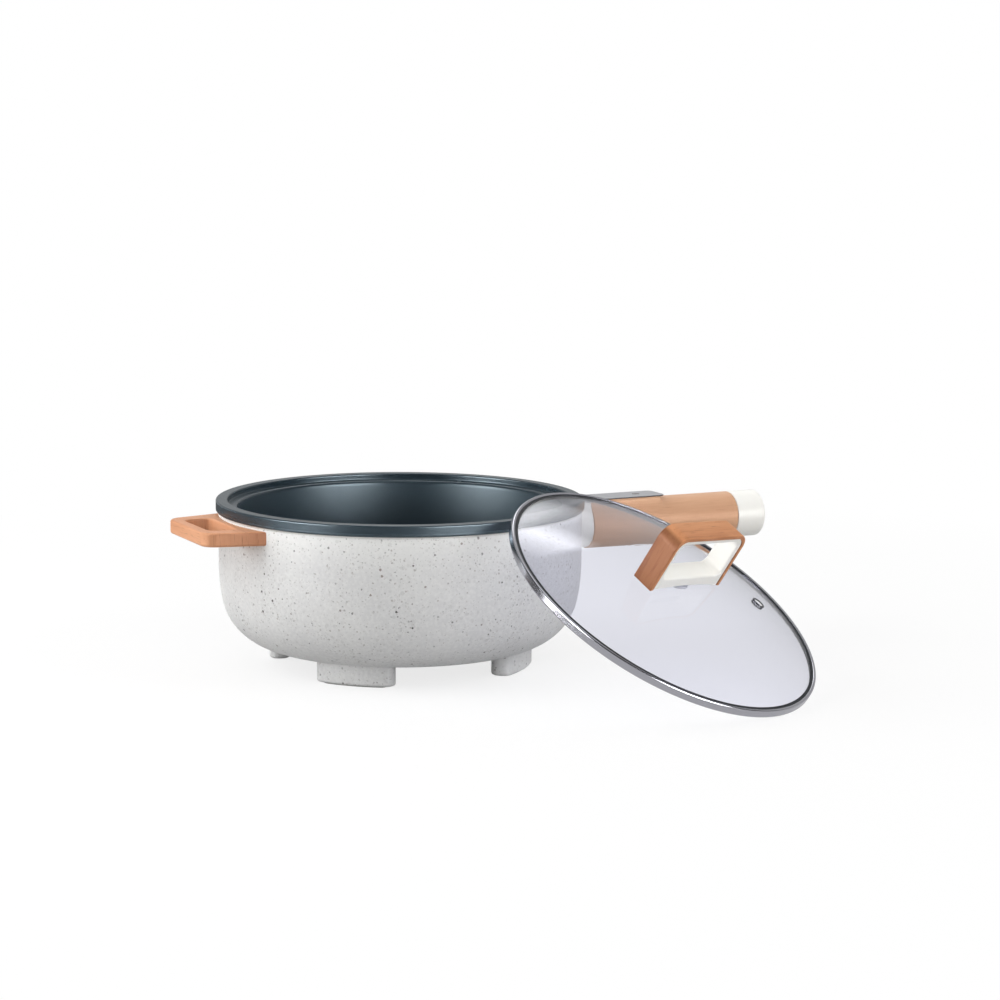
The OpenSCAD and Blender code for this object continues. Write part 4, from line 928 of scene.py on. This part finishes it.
steel = metal("steel", (178, 178, 180), (160, 160, 163), 0.28)
for name, ring, start, seat_z, node in (
        ("cover_screw_heads", COVER_RING, 45, FOOT_H - COVER_T, "cover_screws"),
        ("stud_screw_heads", STUD_RING, 0, FOOT_H, "stud_screws")):
    heads = ring_of(name, screw_head(seat_z - HEAD_H), 4, ring, start, steel)
    fit(heads, steel, "cooker", "steel", node)


# Pieces that stay as they were made: those inside the shell, the handle and the lid's handle, the
# rubber pads and the small fasteners. Each has the finish of what it is made of.
rubber = moulded("grey_rubber", (168, 168, 166), (156, 156, 154), 0.6)
clay = moulded("fired_clay", (222, 218, 206), (206, 200, 188), 0.6)
brown_plastic = moulded("brown_plastic", (84, 64, 50), (72, 54, 42), 0.45)
sleeving = moulded("wire_sleeving", (196, 188, 172), (178, 170, 154), 0.65)
zinc = moulded("zinc_coat", (236, 236, 238), (226, 226, 229), 0.5)
cast = metal("cast_plate", (168, 169, 172), (146, 147, 150), 0.42)
sheathed = metal("heater_sheath", (112, 112, 116), (92, 92, 96), 0.4)
steel_pieces = (
    "thermostat_bracket", "bracket_screws", "fuse_clip", "heat_shield", "pot_studs", "inlet_screws",
    "side_handle_screws", "handle_bolts", "switch_shaft")
for finish, slot, group in (
        (cast, "plate", ("heat_spreader",)),
        (sheathed, "steel", ("heating_element",)),
        (brown_plastic, "dark_plastic", ("thermostat",)),
        (steel, "steel", steel_pieces),
        (zinc, "steel", ("lid_washer", "lid_screw")),
        (clay, "ceramic", ("thermal_fuse",)),
        (rubber, "rubber", ("foot_pads",)),
        (silicone.material, "silicone", ("lid_handle_seal",)),
        (sleeving, "wire", ("lead_wires",)),
        (cream, "cream", ("handle_core",)),
        (lens_finish.material, "lens", ("indicator_lens", "indicator_lamp")),
        (black_plastic, "dark_plastic", ("rotary_switch",)),
        (brass, "brass", ("switch_nut",))):
    for name in group:
        nodes[name].data.materials.clear()
        nodes[name].data.materials.append(finish)


# Camera: it stands where the photo was taken from, a little above the rim. The focal length and the
# place of the rim's middle in the picture are in pixels, the distance to it is in metres.
PICTURE, FOCUS, RIM_AT, RIM_AWAY, SENSOR = 1000, 2888.56, (400.27, 497.24), 2.2, 36.0
turn, rise, roll = math.radians(26), math.radians(8.542), math.radians(0.338)
level_right = Vector((math.cos(turn), -math.sin(turn), 0))
level_away = Vector((math.sin(turn), math.cos(turn), 0))
ahead = math.cos(rise) * level_away - math.sin(rise) * Vector(UPWARD)
above = math.sin(rise) * level_away + math.cos(rise) * Vector(UPWARD)
right = math.cos(roll) * level_right + math.sin(roll) * above
up = math.cos(roll) * above - math.sin(roll) * level_right
rim_middle = row(0, 0, RIM_TOP) @ Vector((0, 0, 0))
rim_right, rim_down = ((at - PICTURE / 2) / FOCUS for at in RIM_AT)
optics = bpy.data.cameras.new("camera")
optics.sensor_width = SENSOR
optics.lens = FOCUS * SENSOR / PICTURE
camera = bpy.data.objects.new("camera", optics)
camera.matrix_world = Matrix((right, up, -ahead)).transposed().to_4x4()
camera.location = rim_middle - RIM_AWAY * (ahead + rim_right * right - rim_down * up)
bpy.context.scene.collection.objects.link(camera)
bpy.context.scene.camera = camera
bpy.context.scene.view_settings.view_transform = "Standard"


# Floor: a pale, even sheet that is white to the camera and keeps a soft shadow round the object. In
# mirrors it is pale near the object, grey further out and white far off. From below it is open.
FLOOR_HALF, SHADOW_SHARE, NEAR_WHITE = 40.0, 0.22, 0.55
floor_mesh = bpy.data.meshes.new("floor")
floor_corners = [(x * FLOOR_HALF, y * FLOOR_HALF, 0) for x, y in ((-1, -1), (1, -1), (1, 1), (-1, 1))]
floor_mesh.from_pydata(floor_corners, [], [(0, 1, 2, 3)])
floor = bpy.data.objects.new("floor", floor_mesh)
bpy.context.scene.collection.objects.link(floor)
floor_finish = Finish("pale_floor", Roughness=0.9, Specular_IOR_Level=0.0)
grit = floor_finish.noise(3.0, 2.0)


def rays(tree):
    """1 for what the camera sees, through glass too, and 1 for what shows in a mirror."""
    paths = tree.node("ShaderNodeLightPath").socket.node.outputs
    camera_ray, mirror_ray, glass_ray, turns_back = (Value(tree, paths[name]) for name in (
        "Is Camera Ray", "Is Glossy Ray", "Is Transmission Ray", "Glossy Depth"))
    seen = camera_ray.most(glass_ray * (turns_back < 0.5))
    return seen, mirror_ray.most(glass_ray) * (1 - seen)


seen, mirrored = rays(floor_finish)
floor_light = floor_finish.mix(grit, srgb(190, 190, 190), srgb(186, 186, 186))
floor_light = floor_finish.mix(mirrored, floor_light, srgb(108, 108, 108))
floor_finish.set(Base_Color=floor_finish.mix(seen, floor_light, srgb(248, 248, 248)))
from_middle = floor_finish.far(floor_finish.here)
in_shadow = SHADOW_SHARE * (1 - from_middle.span(0.3, 0.9))
in_mirror = NEAR_WHITE - from_middle.span(0.58, 0.82) * NEAR_WHITE + from_middle.span(1.4, 2.6)
white = floor_finish.node("ShaderNodeEmission", {}, {"Color": (1.0, 1.0, 1.0, 1.0), "Strength": 1.0})
lit_floor = Value(floor_finish, floor_finish.shader.outputs[0])
from_above = floor_finish.node("ShaderNodeMixShader", {}, {
    0: seen * (1 - in_shadow) + mirrored * in_mirror, 1: lit_floor, 2: white})
below = floor_finish.node("ShaderNodeNewGeometry", out="Backfacing")
clear = floor_finish.node("ShaderNodeBsdfTransparent")
floor_finish.put(floor_finish.tree.nodes["Material Output"].inputs["Surface"],
                 floor_finish.node("ShaderNodeMixShader", {}, {0: below, 1: from_above, 2: clear}))
floor_mesh.materials.append(floor_finish.material)


# Light: even from all round, with a large lamp at each side and a weaker one at the front. Metal, glass
# and the pot's coat mirror a dim room with a bright panel at each side, a backdrop behind the object
# and a light above that. Bearings are in radians from the camera, positive to the right.
ROOM, ALL_ROUND, SIDE_PANELS, BACKDROP, OVERHEAD = 0.1, 0.62, 33.0, 0.36, 2.9
LAMPS_AT = Vector((0, 0, 0.06))
world = bpy.data.worlds.new("studio")
bpy.context.scene.world = world
world.use_nodes = True
sky = Nodes(world.node_tree)
toward = sky.node("ShaderNodeTexCoord", out="Generated")
side = sky.along(toward, level_right)
bearing = side.sign("ARCTAN2", side, sky.along(toward, level_away) * -1)
height = sky.along(toward, UPWARD)
behind = bearing.size()
right_panel = bearing.span(0.28, 0.48) * (1 - bearing.span(0.95, 1.25))
left_panel = (1 - bearing.span(-0.85, -0.65)) * bearing.span(-1.55, -1.15)
panels = right_panel.most(left_panel) * (1 - height.span(0.12, 0.25)) * SIDE_PANELS
backdrop = behind.span(1.7, 2.1) * BACKDROP
middle_light = behind.span(2.86, 2.94) * height.span(0.34, 0.6)
upper_light = behind.span(2.73, 2.77) * height.span(0.58, 0.68)
overhead = middle_light.most(upper_light) * (1 - height.span(0.69, 0.82)) * OVERHEAD
room = ROOM + panels.most(backdrop).most(overhead).most(height.span(0.85, 0.95))
seen, mirrored = rays(sky)
strength = seen + room * mirrored + ALL_ROUND * (1 - seen.most(mirrored))
sky.put(sky.tree.nodes["Background"].inputs["Color"], (1.0, 1.0, 1.0, 1.0))
sky.put(sky.tree.nodes["Background"].inputs["Strength"], strength)

for name, across, away_by, z, size, power in (
        ("left_lamp", -1.8, -0.1, 1.0, 1.7, 30.0),
        ("right_lamp", 1.8, -0.5, 1.0, 1.2, 12.0),
        ("front_lamp", 0.3, -2.2, 0.9, 1.8, 6.8)):
    lamp = bpy.data.lights.new(name, "AREA")
    lamp.shape = "SQUARE"
    lamp.size = size
    lamp.energy = power
    lit = bpy.data.objects.new(name, lamp)
    lit.location = across * level_right + away_by * level_away + Vector((0, 0, z))
    lit.rotation_euler = (LAMPS_AT - lit.location).to_track_quat("-Z", "Y").to_euler()
    bpy.context.scene.collection.objects.link(lit)
    lit.visible_glossy = False
